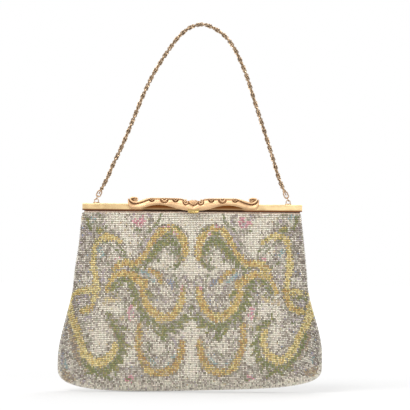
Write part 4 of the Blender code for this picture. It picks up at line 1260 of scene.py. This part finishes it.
def pattern_colours(places, chooser):
    """A colour for each bead, from its place across and down in metres."""
    spots = places * 1000
    count = len(spots)
    chosen = chosen_mixes(spots, chooser)
    palette = {name: linear(colour) for name, colour in BEAD_COLOURS.items()}
    colours = np.zeros((count, 3))
    draw = chooser.random(count)
    for k, mix in enumerate(BEAD_MIXES.values()):
        here = np.flatnonzero(chosen == k)
        shares = np.array(list(mix.values()), float)
        bounds = np.cumsum(shares / shares.sum())
        picked = np.searchsorted(bounds, draw[here], side="right").clip(0, len(mix) - 1)
        colours[here] = np.array([palette[kind] for kind in mix])[picked]
    value = chooser.normal(1.0, 0.06, count).clip(0.8, 1.2)
    share = np.abs(spots[:, 0]) / (1000 * half_width(spots[:, 1] / 1000))
    # Painted shade along the side seams, deeper towards the foot
    above, below = SEAM_SHADE
    seam = above + (below - above) * rise(spots[:, 1], 60, 100)
    value *= 1 - seam * ease((share - 0.70) / 0.3)
    tint = chooser.normal(1.0, 0.02, (count, 3))
    return (colours * value[:, None] * tint).clip(0.01, 0.97)


# The beads


def make_bead(settings):
    """One bead: a barrel with rounded ends, its hole's ends closed, mapped flat."""
    bead = add_primitive(
        bpy.ops.mesh.primitive_cylinder_add, vertices=6, radius=settings.bead_radius,
        depth=settings.bead_length * BARREL_SHARE, end_fill_type="TRIFAN",
    )
    with editing(bead):
        bpy.ops.transform.rotate(
            value=math.pi / 2, orient_axis="Y", center_override=(0, 0, 0), orient_type="GLOBAL"
        )
        bpy.ops.mesh.quads_convert_to_tris()
    half = settings.bead_length / 2
    for vert in bead.data.vertices:
        if math.hypot(vert.co.y, vert.co.z) < settings.bead_radius / 2:
            vert.co.x = math.copysign(half, vert.co.x)
    layer = bead.data.uv_layers[0]
    size = 1 - 2 * MAP_MARGIN
    for loop in bead.data.loops:
        place = bead.data.vertices[loop.vertex_index].co
        along = place.x / (2 * half) + 0.5
        turn = math.atan2(place.y, place.z) / (2 * math.pi) + 0.5
        layer.data[loop.index].uv = (MAP_MARGIN + size * along, MAP_MARGIN + size * turn)
    return bead


def bead_matrices(spots, alongs, outs, chooser):
    """Each bead's place, with a little hand-made unevenness in its size and tilt."""
    count = len(spots)
    tilt = chooser.normal(0, BEAD_TILT, count)[:, None]
    across = np.cross(outs, alongs)
    along = unit(alongs + across * tilt)
    across = np.cross(outs, along)
    size = chooser.normal(1.0, BEAD_SIZE_SPREAD, (count, 2)).clip(0.9, 1.08)
    length, width = size[:, :1], size[:, 1:]
    middles = spots + chooser.normal(0, BEAD_SHIFT, (count, 3)) + np.array(PLACE)
    return copy_places(middles, along * length, across * width, outs * width)


def bend_cloth(obj):
    """Puts the cloth's place into its mesh; nothing ties it to the frame halves or the pouch."""
    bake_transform(obj)


class HANDBAG_OT_bead_rows(bpy.types.Operator):
    """Rows of glass beads over both sides of the bag, in a scrolling pattern"""

    bl_idname = "handbag.bead_rows"
    bl_label = "Bead rows"

    def execute(self, context):
        settings = context.scene.handbag_beads
        look = glass_bead_material()
        bead = make_bead(settings)
        for side, word, body in SIDES:
            chooser = np.random.default_rng(settings.seed + side)
            spots, alongs, outs, numbers, rows = bead_places(side, settings)
            seen = spots[:, [0, 2]] * np.array([-side, -1])
            colours = pattern_colours(seen, chooser)
            places = bead_matrices(spots, alongs, outs, chooser)
            cell = np.array([1 / MAP_COLUMNS, 1 / (len(rows) + 1)])
            cells = np.zeros((len(spots), 4))
            cells[:, 0] = 0.5 + numbers[:, 1] * cell[0]
            cells[:, 1] = 1 - (numbers[:, 0] + 1) * cell[1]
            cells[:, 2:] = cell
            for zone, (top, bottom) in BEAD_ZONES.items():
                kept = (rows >= top) & (rows < bottom)
                here = kept[numbers[:, 0]]
                name = f"beads_{word}_{zone}"
                obj = many_copies(name, bead, places[here], colours[here], cells[here])
                obj.data.materials.append(look)
                if zone == "hinge":
                    bend_cloth(obj)
                else:
                    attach(obj, body if zone == "upper" else "pouch")
        bpy.data.objects.remove(bead)
        return {"FINISHED"}


# The ground cloth, the lining and the pocket


def make_sheet(name, points, side, thickness, look):
    """A sheet over rows of points, mapped flat, facing outwards, its thickness inside it."""
    rows, columns = points.shape[:2]
    corners = [j * columns + i for j in range(rows - 1) for i in range(columns - 1)]
    faces = [(k, k + 1, k + 1 + columns, k + columns) for k in corners]
    sheet = mesh_object(name, points.reshape(-1, 3) + np.array(PLACE), faces)
    layer = sheet.data.uv_layers.new(name="UVMap")
    for loop in sheet.data.loops:
        j, i = divmod(loop.vertex_index, columns)
        layer.data[loop.index].uv = (i / (columns - 1), j / (rows - 1))
    facing = sum((face.normal.y * face.area for face in sheet.data.polygons), 0.0)
    if facing * side < 0:
        with editing(sheet):
            bpy.ops.mesh.flip_normals()
    apply_modifier(sheet, "SOLIDIFY", thickness=thickness, offset=-1.0)
    return finish_shape(sheet, look)


def cut_size(points):
    """The flat width, length and area of a sheet of points in rows."""
    steps = np.linalg.norm(np.diff(points, axis=1), axis=2).sum(1)
    falls = np.linalg.norm(np.diff(points, axis=0), axis=2).sum(0)
    u = points[1:, :-1] - points[:-1, :-1]
    v = points[:-1, 1:] - points[:-1, :-1]
    w = points[1:, 1:] - points[:-1, 1:]
    r = points[1:, 1:] - points[1:, :-1]
    area = np.linalg.norm(np.cross(u, v), axis=2).sum() / 2
    area += np.linalg.norm(np.cross(w, r), axis=2).sum() / 2
    return (float(steps.max()), float(falls.max())), float(area)


def offset_inwards(points, side, depth):
    """Moves a grid of points inwards along its own normals."""
    along = np.gradient(points, axis=1)
    down = np.gradient(points, axis=0)
    return points - unit(side * np.cross(along, down)) * depth


class HANDBAG_OT_ground_cloth(bpy.types.Operator):
    """The knitted cloth under the beads, front and back"""

    bl_idname = "handbag.ground_cloth"
    bl_label = "Ground cloth"

    def execute(self, context):
        settings = context.scene.handbag_beads
        look = thread_material(tuple(settings.thread_colour))
        depth = settings.bead_radius * 2 - BEAD_SINK
        for side, word, body in SIDES:
            across = even_across(101, 4)[None, :]
            top = np.linspace(TUCK_DROP, BAR_FOOT, 3)[:-1]
            level = np.concatenate([top, foot_levels(90)])[:, None]
            points = offset_inwards(cloth_points(side, across, level), side, depth)
            obj = make_sheet(
                f"ground_cloth_{word}", points, side, settings.cloth_thickness, look
            )
            bend_cloth(obj)
            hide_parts(f"beaded_{word}_upper", f"beaded_{word}_lower")
            flat, area = cut_size(points)
        return {"FINISHED"}


class HANDBAG_OT_lining(bpy.types.Operator):
    """The satin lining inside both sides, softly gathered"""

    bl_idname = "handbag.lining"
    bl_label = "Satin lining"

    def execute(self, context):
        settings = context.scene.handbag_satin
        look = satin_material("Ivory satin", tuple(settings.colour))
        for side, word, body in SIDES:
            across = np.sin(np.linspace(-math.pi / 2, math.pi / 2, 161))[None, :]
            foot = POUCH_DROP - LINING_INSET - LINING_LEVEL
            share = np.linspace(0, 1, 70)[:, None]
            level = TUCK_DROP + (foot - TUCK_DROP) * (1 - (1 - share) ** 1.6)
            points = cloth_points(side, across, level, LINING_INSET, LINING_LEVEL)
            gathers = np.sin(across * GATHER_PACE + 1.4 * np.sin(level * 40))
            gathers = GATHER_HEIGHT * gathers * ease((level - BAR_FOOT) / 0.02)
            gathers = gathers * (1 - np.abs(across) ** 6)
            points[:, :, 1] -= side * (GATHER_ROOM + gathers)
            obj = make_sheet(f"satin_lining_{word}", points, side, settings.thickness, look)
            bend_cloth(obj)
            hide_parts(f"lining_{word}_upper", f"lining_{word}_lower")
            flat, area = cut_size(points)
        return {"FINISHED"}


class HANDBAG_OT_slip_pocket(bpy.types.Operator):
    """The slip pocket on the back lining, with a folded, stitched mouth"""

    bl_idname = "handbag.slip_pocket"
    bl_label = "Slip pocket"

    def execute(self, context):
        look = satin_material("Pocket satin", tuple(context.scene.handbag_satin.colour))
        share = np.linspace(-1, 1, 61)[None, :]
        drop = np.linspace(POCKET_TOP_DROP, POCKET_BOTTOM_DROP, 34)[:, None]
        x = share * POCKET_WIDTH / 2 + 0 * drop
        across = x / half_width(drop)
        slack = POCKET_SLACK * np.cos(share * math.pi / 2)
        slack = slack * np.exp(-(drop - POCKET_TOP_DROP) / SLACK_RUN)
        y = fullness(across, drop, foot_drop(across)) - POCKET_LEVEL - slack
        points = np.stack([x - leaning(drop), y, -drop + 0 * x], axis=-1)
        parts = [make_sheet("pocket", points, BACK, POCKET_THICKNESS, look)]
        for hem_drop in HEM_DROPS:
            row = points[np.abs(drop[:, 0] - POCKET_TOP_DROP - hem_drop).argmin()]
            line = row + np.array(PLACE) - np.array((0, HEM_RADIUS, 0))
            parts.append(wire(line, HEM_RADIUS, rounds=1))
        pocket = finish_shape(join_shapes(parts, "pocket_satin"), look)
        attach(pocket, "pouch")
        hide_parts("slip_pocket")
        flat, area = cut_size(points)
        return {"FINISHED"}


# The frame


class HANDBAG_OT_frame_finish(bpy.types.Operator):
    """The finish of the frame, its rivets, the clasp's lever and pins and the catch spring"""

    bl_idname = "handbag.frame_finish"
    bl_label = "Frame finish"

    def execute(self, context):
        settings = context.scene.handbag_gilt
        light, deep = tuple(settings.light), tuple(settings.deep)
        bar = gilt_material("Satin gilt bar", light, deep, 0.30)
        # Painted shade on the bar behind the clasp and along its foot
        paint_shade_behind_clasp(bar.node_tree)
        small = gilt_material("Small gilt parts", light, deep, 0.34, (300, 300, 300))
        # The lever's darker gilt is painted shade, for the shadow under the ornament's arches
        shaded = gilt_material("Shadowed gilt lever", (0.42, 0.17, 0.04), deep, 0.42, (300, 300, 300))
        brass = gilt_material("Spring brass finish", (0.70, 0.58, 0.34), (0.3, 0.2, 0.08), 0.3)
        looks = {
            "frame_front": bar, "frame_back": bar, "clasp_lever": shaded,
            "clasp_pin_left": small, "clasp_pin_right": small, "frame_rivet_left": small,
            "frame_rivet_right": small, "catch_rivet": brass, "catch_spring": brass,
        }
        for node, look in looks.items():
            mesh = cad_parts[node].data
            mesh.materials.clear()
            mesh.materials.append(look)
        return {"FINISHED"}


# The clasp, in millimetres out from its middle and up from the bar's top

CLASP_SHIFT = 1.1

# Half the band's width, its wavy foot and its top line
BAND_HALF = 59.7
BAND_FOOT = (
    (0.0, -6.3), (5.0, -6.1), (10.0, -5.6), (14.5, -4.6), (20.0, -3.0), (26.0, -1.7),
    (31.8, -1.2), (37.0, -1.7), (42.0, -2.9), (46.0, -4.2), (49.5, -5.0), (53.6, -5.2),
    (56.4, -4.8), (58.2, -3.7), (59.2, -1.9), (59.6, 0.4), (59.8, 3.2),
)
BAND_TOP = (
    (0.0, -2.0), (2.6, -0.6), (5.2, 1.2), (8.0, 2.6), (11.0, 3.3), (20.0, 3.6), (30.0, 3.7),
    (37.6, 3.5), (41.5, 2.7), (44.7, 1.4), (47.2, 0.5), (50.0, -0.2), (53.0, -0.6),
    (55.4, -0.2), (57.1, 1.0), (58.2, 2.6), (58.8, 3.8), (59.3, 4.3), (59.8, 4.0),
)

# The roll that runs along the band's top and winds up in the end scroll: out, up and radius
ROLL = (
    (8.8, 3.8, 0.30), (11.5, 4.6, 0.34), (20.0, 4.9, 0.36), (30.0, 5.0, 0.36),
    (37.6, 4.9, 0.42), (41.4, 4.2, 0.72), (45.4, 2.9, 0.92), (49.0, 1.7, 0.95),
    (52.4, 1.1, 0.95), (55.1, 1.6, 0.92), (57.0, 3.0, 0.86), (57.2, 4.5, 0.78),
    (55.6, 5.3, 0.70), (53.2, 5.4, 0.66), (51.2, 4.8, 0.60), (50.8, 3.7, 0.56),
    (51.9, 2.9, 0.54), (53.5, 3.0, 0.52), (54.2, 3.7, 0.50),
)

# Scallops that hang over the band, and the middle curl: out, up, width and height
SCALLOPS = ((37.8, 3.3, 3.6, 3.0), (26.4, 3.0, 5.8, 4.2), (16.3, 3.3, 4.0, 3.2))
CURL = (6.6, 1.7, 5.0, 5.0)

# The lengths of the middle shell's flutes, from left to right
SHELL_FLUTES = (5.0, 5.2, 5.0, 4.3, 5.0, 5.2, 5.0)


def along_table(table, x):
    """The height of a line of the band at places across, the same on both sides."""
    line = smooth_line(table)
    return np.interp(np.abs(x), line[:, 0], line[:, 1])


def clasp_point(x, depth, z):
    """A point on the ornament from millimetres across, in front of its back, and up."""
    return (
        PLACE.x + (x + CLASP_SHIFT) / 1000,
        PLACE.y - ORNAMENT_BACK - depth / 1000,
        PLACE.z + z / 1000,
    )


def make_band():
    """The moulded band across the ornament: a full roll under a thin plate that backs the
    upper roll."""
    x = np.linspace(-BAND_HALF, BAND_HALF, 359)
    foot, top = along_table(BAND_FOOT, x), along_table(BAND_TOP, x)

    # The band is flatter where it is lower than this, and the plate sinks away at its ends
    scale = np.clip((top - foot) / 3.4, 0.2, 1)
    plate = 0.2 + 1.0 * ease((59.2 - np.abs(x)) / 1.2)
    rows = [
        np.stack([x, 0.8 * scale, top + plate], axis=-1),
        np.stack([x, 0.7 * scale, top + 0.1], axis=-1),
    ]
    for share in np.linspace(0, 1, 25):
        # The roll's fullness, less a groove along it and one round each scallop and curl
        swell = math.sin(math.pi * (0.13 + 0.77 * share)) ** 0.8
        full = 0.5 + (2.1 + 0.5 * np.cos(x / 60 * math.pi) ** 2) * swell
        full = full - 0.22 * math.exp(-((share - 0.45) / 0.05) ** 2)
        z = top + (foot - top) * share
        for middle, height, width, tall in (*SCALLOPS, CURL):
            off = np.hypot((np.abs(x) - middle) / (width / 2), (z - height) / (tall / 2))
            full = full - 0.9 * np.exp(-((off - 1.05) / 0.2) ** 2)
        rows.append(np.stack([x, full * (0.3 + 0.7 * scale), z], axis=-1))
    for z in (foot, top + plate):
        rows.append(np.stack([x, 0 * x, z], axis=-1))
    count, columns = len(rows), len(x)
    points = [clasp_point(*place) for row in rows for place in row]
    faces = []
    for j in range(count):
        for i in range(columns - 1):
            a, b = j * columns + i, (j + 1) % count * columns + i
            faces.append((a, a + 1, b + 1, b))
    faces.append([j * columns for j in range(count)])
    faces.append([j * columns + columns - 1 for j in reversed(range(count))])
    band = mesh_object("band", points, faces)
    with editing(band):
        bpy.ops.mesh.normals_make_consistent(inside=False)
    return band


def make_ball(place, scale, turn=0.0, segments=12, rings=8):
    """A cast boss: a sphere drawn out to a scale, and turned in the ornament's face."""
    ball = add_primitive(
        bpy.ops.mesh.primitive_uv_sphere_add, segments=segments, ring_count=rings,
        radius=MILLIMETRE,
    )
    ball.scale = scale
    ball.rotation_euler = (0, turn, 0)
    ball.location = place
    apply_place(ball)
    return ball


def make_upper_roll(hand, swelling):
    """The roll along the band's top, which winds up in a scroll round a boss."""
    line = smooth_line(ROLL, 6)
    run = run_lengths(line[:, :2])
    depth = 1.5 + 1.1 * ease(run / run[-1])
    places = [clasp_point(hand * x, y, z) for (x, z, _), y in zip(line, depth)]
    dish = make_ball(clasp_point(hand * 53.9, 0.9, 3.4), (3.3, 0.35, 2.2))
    boss = make_ball(clasp_point(hand * 53.0, 2.9, 4.0), (0.6, 0.6, 0.6))
    return [wire(places, [radius * swelling / 1000 for radius in line[:, 2]]), dish, boss]


def make_scallop(x, z, width, height):
    """A scallop of five flutes that hangs over the band, under a small boss."""
    top = clasp_point(x, 2.5, z + 0.42 * height)
    parts = [make_ball(top, (width * 0.2, 0.8, 0.6), segments=10, rings=6)]
    for k in range(5):
        turn = math.radians(-64 + 32 * k)
        place = clasp_point(
            x + width * 0.31 * math.sin(turn), 2.5,
            z + 0.30 * height - height * 0.45 * math.cos(turn),
        )
        parts.append(make_ball(place, (width * 0.13, 1.0, height * 0.31), turn, 10, 6))
    return parts


def make_curl(hand):
    """The small curl on either side of the middle shell."""
    out, up, width, _ = CURL
    places, radii = [], []
    for share in np.linspace(0, 1, 45):
        turn = math.radians(100 - 470 * share)
        reach = width / 2 * (0.86 - 0.62 * share)
        x, z = out + reach * math.cos(turn), up + reach * math.sin(turn)
        places.append(clasp_point(hand * x, 2.5 + 0.8 * share, z))
        radii.append(0.00062 * (1 - 0.4 * share))
    return wire(places, radii)


def make_middle_shell():
    """The middle shell: flutes that spread upwards from a point, dipping at the middle."""
    parts = []
    for k, length in enumerate(SHELL_FLUTES):
        turn = math.radians(-45 + 15 * k)
        places, radii = [], []
        for share in np.linspace(0, 1, 9):
            reach = 0.3 + length * share
            places.append(
                clasp_point(reach * math.sin(turn), 1.6 + 1.2 * math.sin(math.pi * share) ** 0.7,
                            -1.7 + reach * math.cos(turn))
            )
            radii.append(0.00020 + 0.00046 * share ** 0.8)
        parts.append(wire(places, radii, rounds=2))
    return parts


class HANDBAG_OT_clasp_ornament(bpy.types.Operator):
    """The clasp's cast front: a swelling band, end scrolls, rosettes, curls and a shell"""

    bl_idname = "handbag.clasp_ornament"
    bl_label = "Clasp ornament"

    def execute(self, context):
        # The deep colour here is the painted shade in the ornament's hollows
        look = gilt_material(
            "Cast gilt ornament", (0.80, 0.54, 0.31), (0.12, 0.035, 0.008), 0.50,
            brush=(500, 500, 500), hollows=True,
        )
        parts = [make_band(), *make_middle_shell()]
        for hand in (LEFT, RIGHT):
            parts += make_upper_roll(hand, context.scene.handbag_gilt.roll_swelling)
            parts.append(make_curl(hand))
            for x, z, width, height in SCALLOPS:
                parts += make_scallop(hand * x, z, width, height)
        ornament = finish_shape(join_shapes(parts, "clasp_scrollwork"), look)
        paint_hollow_shade(ornament, reach=0.003)
        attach(ornament, "clasp")
        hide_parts("clasp_ornament")
        return {"FINISHED"}


class HANDBAG_OT_thumb_tab(bpy.types.Operator):
    """The finger tab under the ornament's middle, dished and curled out at its foot"""

    bl_idname = "handbag.thumb_tab"
    bl_label = "Thumb tab"

    def execute(self, context):
        deep = tuple(context.scene.handbag_gilt.deep)
        look = gilt_material("Polished gilt tab", (0.46, 0.34, 0.13), deep, 0.26, (300, 300, 300))
        low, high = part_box("thumb_tab")
        centre, size = (low + high) / 2, high - low
        tab = add_primitive(bpy.ops.mesh.primitive_cube_add, size=1, location=centre)
        tab.scale = (size.x, TAB_THICKNESS, size.z)
        apply_place(tab)
        with editing(tab):
            bpy.ops.mesh.subdivide(number_cuts=9)
        for vert in tab.data.vertices:
            fall = (high.z - vert.co.z) / size.z
            side = (vert.co.x - centre.x) / (size.x / 2)
            taper = 1 - TAB_TAPER * fall - TAB_CORNER_TAPER * max(0, fall - 0.8) * side ** 2
            vert.co.x = centre.x + CLASP_SHIFT / 1000 + side * taper * size.x / 2
            thin = (vert.co.y - centre.y) * (1 - 0.25 * fall)
            curl = TAB_CURL * max(0, fall - 0.45) ** 2
            dish = TAB_DISH * (1 - side * side) * math.sin(math.pi * min(fall, 1))
            vert.co.y = high.y - TAB_THICKNESS / 2 + thin - curl + dish
            vert.co.z += TAB_CORNER_RISE * abs(side) ** 3 * max(0, fall - 0.5)
        apply_modifier(tab, "BEVEL", width=TAB_BEVEL, segments=3, limit_method="ANGLE")
        finish_shape(tab, look, "clasp_tab")
        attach(tab, "clasp")
        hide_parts("thumb_tab")
        return {"FINISHED"}


# The chain

# Front to back, which the chain's flat rings stand in
DEPTH = np.array((0.0, 1.0, 0.0))

# Directions along the chain are taken between points this far before and behind
CHAIN_STEP = 0.0001

# How far a link lies in the next one, in wire radii, and how near the strands lie to the rope's
# middle at its ends, as a share of what they do elsewhere
LINK_OVERLAP = 3.9
CLOSED_SHARE = 0.25


def chain_line():
    """The chain's eyes, the ways it leaves them, its two tips and a smooth line between these,
    in world coordinates."""
    place = np.array(PLACE)
    eyes = [place + (hand * EYE_REACH, EYE_SETBACK, EYE_HEIGHT) for hand in (LEFT, RIGHT)]
    route = []
    for reach, level in CHAIN_ROUTE_SHARES:
        x = APEX_OFFSET if level == 1 else reach * EYE_REACH
        route.append(place + (x, EYE_SETBACK, level * APEX_HEIGHT))
    headings = [unit(route[0] - eyes[0]), unit(route[-1] - eyes[1])]
    tips = [eye + heading * TIP_CENTRE for eye, heading in zip(eyes, headings)]
    return eyes, headings, tips, smooth_line([tips[0], *route, tips[1]], 24)


def rope_strand(line, places, phase, settings):
    """Points on one strand of the rope, at places along its line, and the ways out to them."""
    run = run_lengths(line)
    ahead, back = (points_along(line, run, places + off) for off in (CHAIN_STEP, -CHAIN_STEP))
    sideways = unit(np.cross(unit(ahead - back), DEPTH))
    turn = (2 * math.pi * places / settings.rope_pitch + phase)[:, None]
    out = np.cos(turn) * sideways + np.sin(turn) * DEPTH
    fade = ease(np.minimum(places, run[-1] - places) / ROPE_FADE)[:, None]
    reach = settings.strand_offset * (CLOSED_SHARE + (1 - CLOSED_SHARE) * fade)
    return points_along(line, run, places) + out * reach, out


def link_matrices(line, phase, settings):
    """The places of a strand's links, each a quarter turned from the one before."""
    length = run_lengths(line)[-1]
    count = int(length / (settings.link_length - LINK_OVERLAP * settings.wire_radius))
    places = (np.arange(count) + 0.5) * length / count
    spots, outs = rope_strand(line, places, phase, settings)
    ahead, back = (
        rope_strand(line, places + off, phase, settings)[0] for off in (CHAIN_STEP, -CHAIN_STEP)
    )
    along = unit(ahead - back)
    side = unit(np.cross(outs, along))
    turn = (np.arange(count) % 2 * math.pi / 2 + math.pi / 4)[:, None]
    wide = np.cos(turn) * side + np.sin(turn) * np.cross(along, side)
    return copy_places(spots, along, wide, np.cross(along, wide))


def rope_end_ring(tip, heading):
    """The ring at an end of the rope: made flat, then stood along the way the chain leaves."""
    turns = [2 * math.pi * k / 20 for k in range(20)]
    circle = [
        (ROPE_RING_RADIUS * math.cos(turn), ROPE_RING_RADIUS * math.sin(turn), 0.0)
        for turn in turns
    ]
    ring = wire(circle, ROPE_RING_WIRE, closed=True)
    ways = np.stack([heading, DEPTH, np.cross(heading, DEPTH)])
    for vert in ring.data.vertices:
        vert.co = tip + np.array(vert.co) @ ways
    return ring


def oval_ring(centre, along, across, size):
    """A round or oval closed loop of wire, from its length, its width and its wire's radius."""
    length, width, radius = size
    straight = max(0.0, length - width) / 2
    places = []
    for k in range(32):
        turn = 2 * math.pi * (k + 0.5) / 32
        reach = math.cos(turn) * width / 2 + math.copysign(straight, math.cos(turn))
        places.append(centre + along * reach + across * math.sin(turn) * width / 2)
    return wire(places, radius, closed=True)


def make_eyelet(eye):
    """The parts of an eyelet: a staple of wire on an oval base, with a washer at each foot."""
    foot = PLACE.z + EYELET_LIFT
    shoulder = PLACE.z + EYE_HEIGHT - EYELET_HALF
    places = [(eye[0] - EYELET_HALF, eye[1], foot)]
    for turn in np.linspace(math.pi, 0, 17):
        x, z = eye[0] + EYELET_HALF * math.cos(turn), shoulder + EYELET_HALF * math.sin(turn)
        places.append((x, eye[1], z))
    places.append((eye[0] + EYELET_HALF, eye[1], foot))
    base = make_ball((eye[0], eye[1], foot), EYELET_BASE, segments=20, rings=10)
    parts = [wire(places, EYELET_WIRE), base]
    for reach in (-EYELET_HALF, EYELET_HALF):
        washer = add_primitive(
            bpy.ops.mesh.primitive_cylinder_add, vertices=20, radius=WASHER_RADIUS,
            depth=WASHER_HEIGHT, location=(eye[0] + reach, eye[1], foot + WASHER_HEIGHT / 2),
        )
        apply_place(washer)
        apply_modifier(washer, "BEVEL", width=WASHER_BEVEL, segments=2, limit_method="ANGLE")
        parts.append(washer)
    return parts


class HANDBAG_OT_rope_chain(bpy.types.Operator):
    """The rope chain: two strands of small oval links twisted round each other"""

    bl_idname = "handbag.rope_chain"
    bl_label = "Rope chain"

    def execute(self, context):
        settings = context.scene.handbag_chain
        # The deep colour here is the painted shade between the links
        look = gilt_material(
            "Chain gilt wire", (0.54, 0.39, 0.25), (0.09, 0.05, 0.022), 0.28,
            brush=(900, 900, 900), hollows=True,
        )
        link = add_primitive(
            bpy.ops.mesh.primitive_torus_add, major_segments=10, minor_segments=5,
            major_radius=settings.link_width / 2 - settings.wire_radius,
            minor_radius=settings.wire_radius,
        )
        stretch = (settings.link_length - settings.link_width) / 2
        for vert in link.data.vertices:
            vert.co.x += math.copysign(stretch, vert.co.x) if abs(vert.co.x) > 1e-6 else 0
        _, headings, tips, line = chain_line()
        blocks = [link_matrices(line, phase, settings) for phase in (0.0, math.pi)]
        rope = many_copies("rope_links", link, np.concatenate(blocks))
        rings = [rope_end_ring(tip, heading) for tip, heading in zip(tips, headings)]
        rope = finish_shape(join_shapes([rope, *rings], "chain_rope"), look)
        paint_hollow_shade(rope, reach=0.0016, rays=10)
        bpy.data.objects.remove(link)
        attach(rope, "handle")
        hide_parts("rope_chain")
        return {"FINISHED"}


class HANDBAG_OT_chain_fittings(bpy.types.Operator):
    """The eyelets on the bar, the jump rings and the long links at the chain's ends"""

    bl_idname = "handbag.chain_fittings"
    bl_label = "Chain fittings"

    def execute(self, context):
        deep = tuple(context.scene.handbag_gilt.deep)
        look = gilt_material("Fittings gilt wire", (0.46, 0.32, 0.21), deep, 0.30, (700, 700, 700))
        eyes, headings, _, _ = chain_line()
        for word, eye, heading in zip(("left", "right"), eyes, headings):
            sideways = np.cross(heading, DEPTH)
            ring = oval_ring(eye + heading * RING_CENTRE, heading, DEPTH, JUMP_RING)
            finish_shape(ring, look, f"chain_ring_{word}")
            middle = eye + heading * (LINK_NEAR + LINK_FAR) / 2
            link = oval_ring(middle, heading, sideways, END_LINK)
            joining = oval_ring(eye + heading * JOINING_CENTRE, heading, DEPTH, JOINING_RING)
            link = finish_shape(join_shapes([link, joining], f"chain_link_{word}"), look)
            for obj, node in ((ring, f"jump_ring_{word}"), (link, f"end_link_{word}")):
                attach(obj, "handle")
                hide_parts(node)
            eyelet = finish_shape(join_shapes(make_eyelet(eye), f"eyelet_{word}"), look)
            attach(eyelet, "back_half")
            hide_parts(f"chain_eye_{word}")
        return {"FINISHED"}


# The stage


class HANDBAG_OT_stage(bpy.types.Operator):
    """The pale floor, soft lights, white surroundings and the camera"""

    bl_idname = "handbag.stage"
    bl_label = "Stage"

    def execute(self, context):
        settings = context.scene.handbag_stage
        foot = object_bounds()[0].z
        floor = add_primitive(
            bpy.ops.mesh.primitive_plane_add, size=8, location=(0, 0, foot - settings.floor_gap)
        )
        floor.name = "floor"
        look, tree, shader = plain_material("Pale floor", (FLOOR_LIGHTING,) * 3, 0.9)
        base = seen_strength(tree, FLOOR_LIGHTING, FLOOR_SEEN)
        set_sockets(tree, shader, {"Base Color": base, "Specular IOR Level": 0.0})
        add_seen_light(tree, shader)
        floor.data.materials.append(look)
        floor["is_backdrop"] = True

        world = bpy.data.worlds.new("Studio")
        context.scene.world = world
        world.use_nodes = True
        tree = world.node_tree
        air = seen_strength(tree, AIR_LIGHTING, AIR_SEEN)
        set_sockets(tree, tree.nodes["Background"], {"Color": (1, 1, 1, 1), "Strength": air})

        for name, place, size, power in LAMPS:
            light = bpy.data.lights.new(name, "AREA")
            light.size = size
            light.energy = power
            lamp = add_object(name, light)
            lamp.location = place
            toward = LAMP_AIM - Vector(place)
            lamp.rotation_euler = toward.to_track_quat("-Z", "Y").to_euler()

        camera = bpy.data.cameras.new("front_camera")
        camera.sensor_width = 36
        camera.lens = camera.sensor_width * settings.camera_distance / settings.field_width
        camera.clip_start, camera.clip_end = 0.1, 20
        viewer = add_object("front_camera", camera)
        x, z = PICTURE_MIDDLE
        viewer.location = (x, -settings.camera_distance, z)
        viewer.rotation_euler = (math.pi / 2, 0, 0)
        viewer.rotation_euler.rotate_axis("Z", settings.roll)
        context.scene.camera = viewer
        context.scene.view_settings.view_transform = "Standard"
        return {"FINISHED"}


# The add-on's panel and its registration

OPERATORS = (
    HANDBAG_OT_bead_rows,
    HANDBAG_OT_ground_cloth,
    HANDBAG_OT_lining,
    HANDBAG_OT_slip_pocket,
    HANDBAG_OT_frame_finish,
    HANDBAG_OT_clasp_ornament,
    HANDBAG_OT_thumb_tab,
    HANDBAG_OT_rope_chain,
    HANDBAG_OT_chain_fittings,
    HANDBAG_OT_stage,
)


class HANDBAG_PT_sidebar(bpy.types.Panel):
    """The handbag's pieces and its stage"""

    bl_label = "Beaded Handbag"
    bl_idname = "HANDBAG_PT_sidebar"
    bl_space_type = "VIEW_3D"
    bl_region_type = "UI"
    bl_category = "Handbag"

    def draw(self, context):
        for operator in OPERATORS:
            self.layout.operator(operator.bl_idname)
        for group in SETTINGS:
            settings = getattr(context.scene, group)
            box = self.layout.box()
            for name in settings.bl_rna.properties.keys():
                if name not in ("name", "rna_type"):
                    box.prop(settings, name)


SETTINGS = {
    "handbag_beads": HandbagBeadSettings,
    "handbag_satin": HandbagSatinSettings,
    "handbag_gilt": HandbagGiltSettings,
    "handbag_chain": HandbagChainSettings,
    "handbag_stage": HandbagStageSettings,
}
CLASSES = (*SETTINGS.values(), *OPERATORS, HANDBAG_PT_sidebar)


def register():
    """Registers the settings, the operators and the panel."""
    for made in CLASSES:
        bpy.utils.register_class(made)
    for name, group in SETTINGS.items():
        setattr(bpy.types.Scene, name, PointerProperty(type=group))


def unregister():
    """Takes them out again."""
    for name in SETTINGS:
        delattr(bpy.types.Scene, name)
    for made in reversed(CLASSES):
        bpy.utils.unregister_class(made)


def main():
    """Makes every piece and the stage in order."""
    register()
    for operator in OPERATORS:
        group, name = operator.bl_idname.split(".")
        getattr(getattr(bpy.ops, group), name)()
    start_clean()


if __name__ == "__main__":
    main()
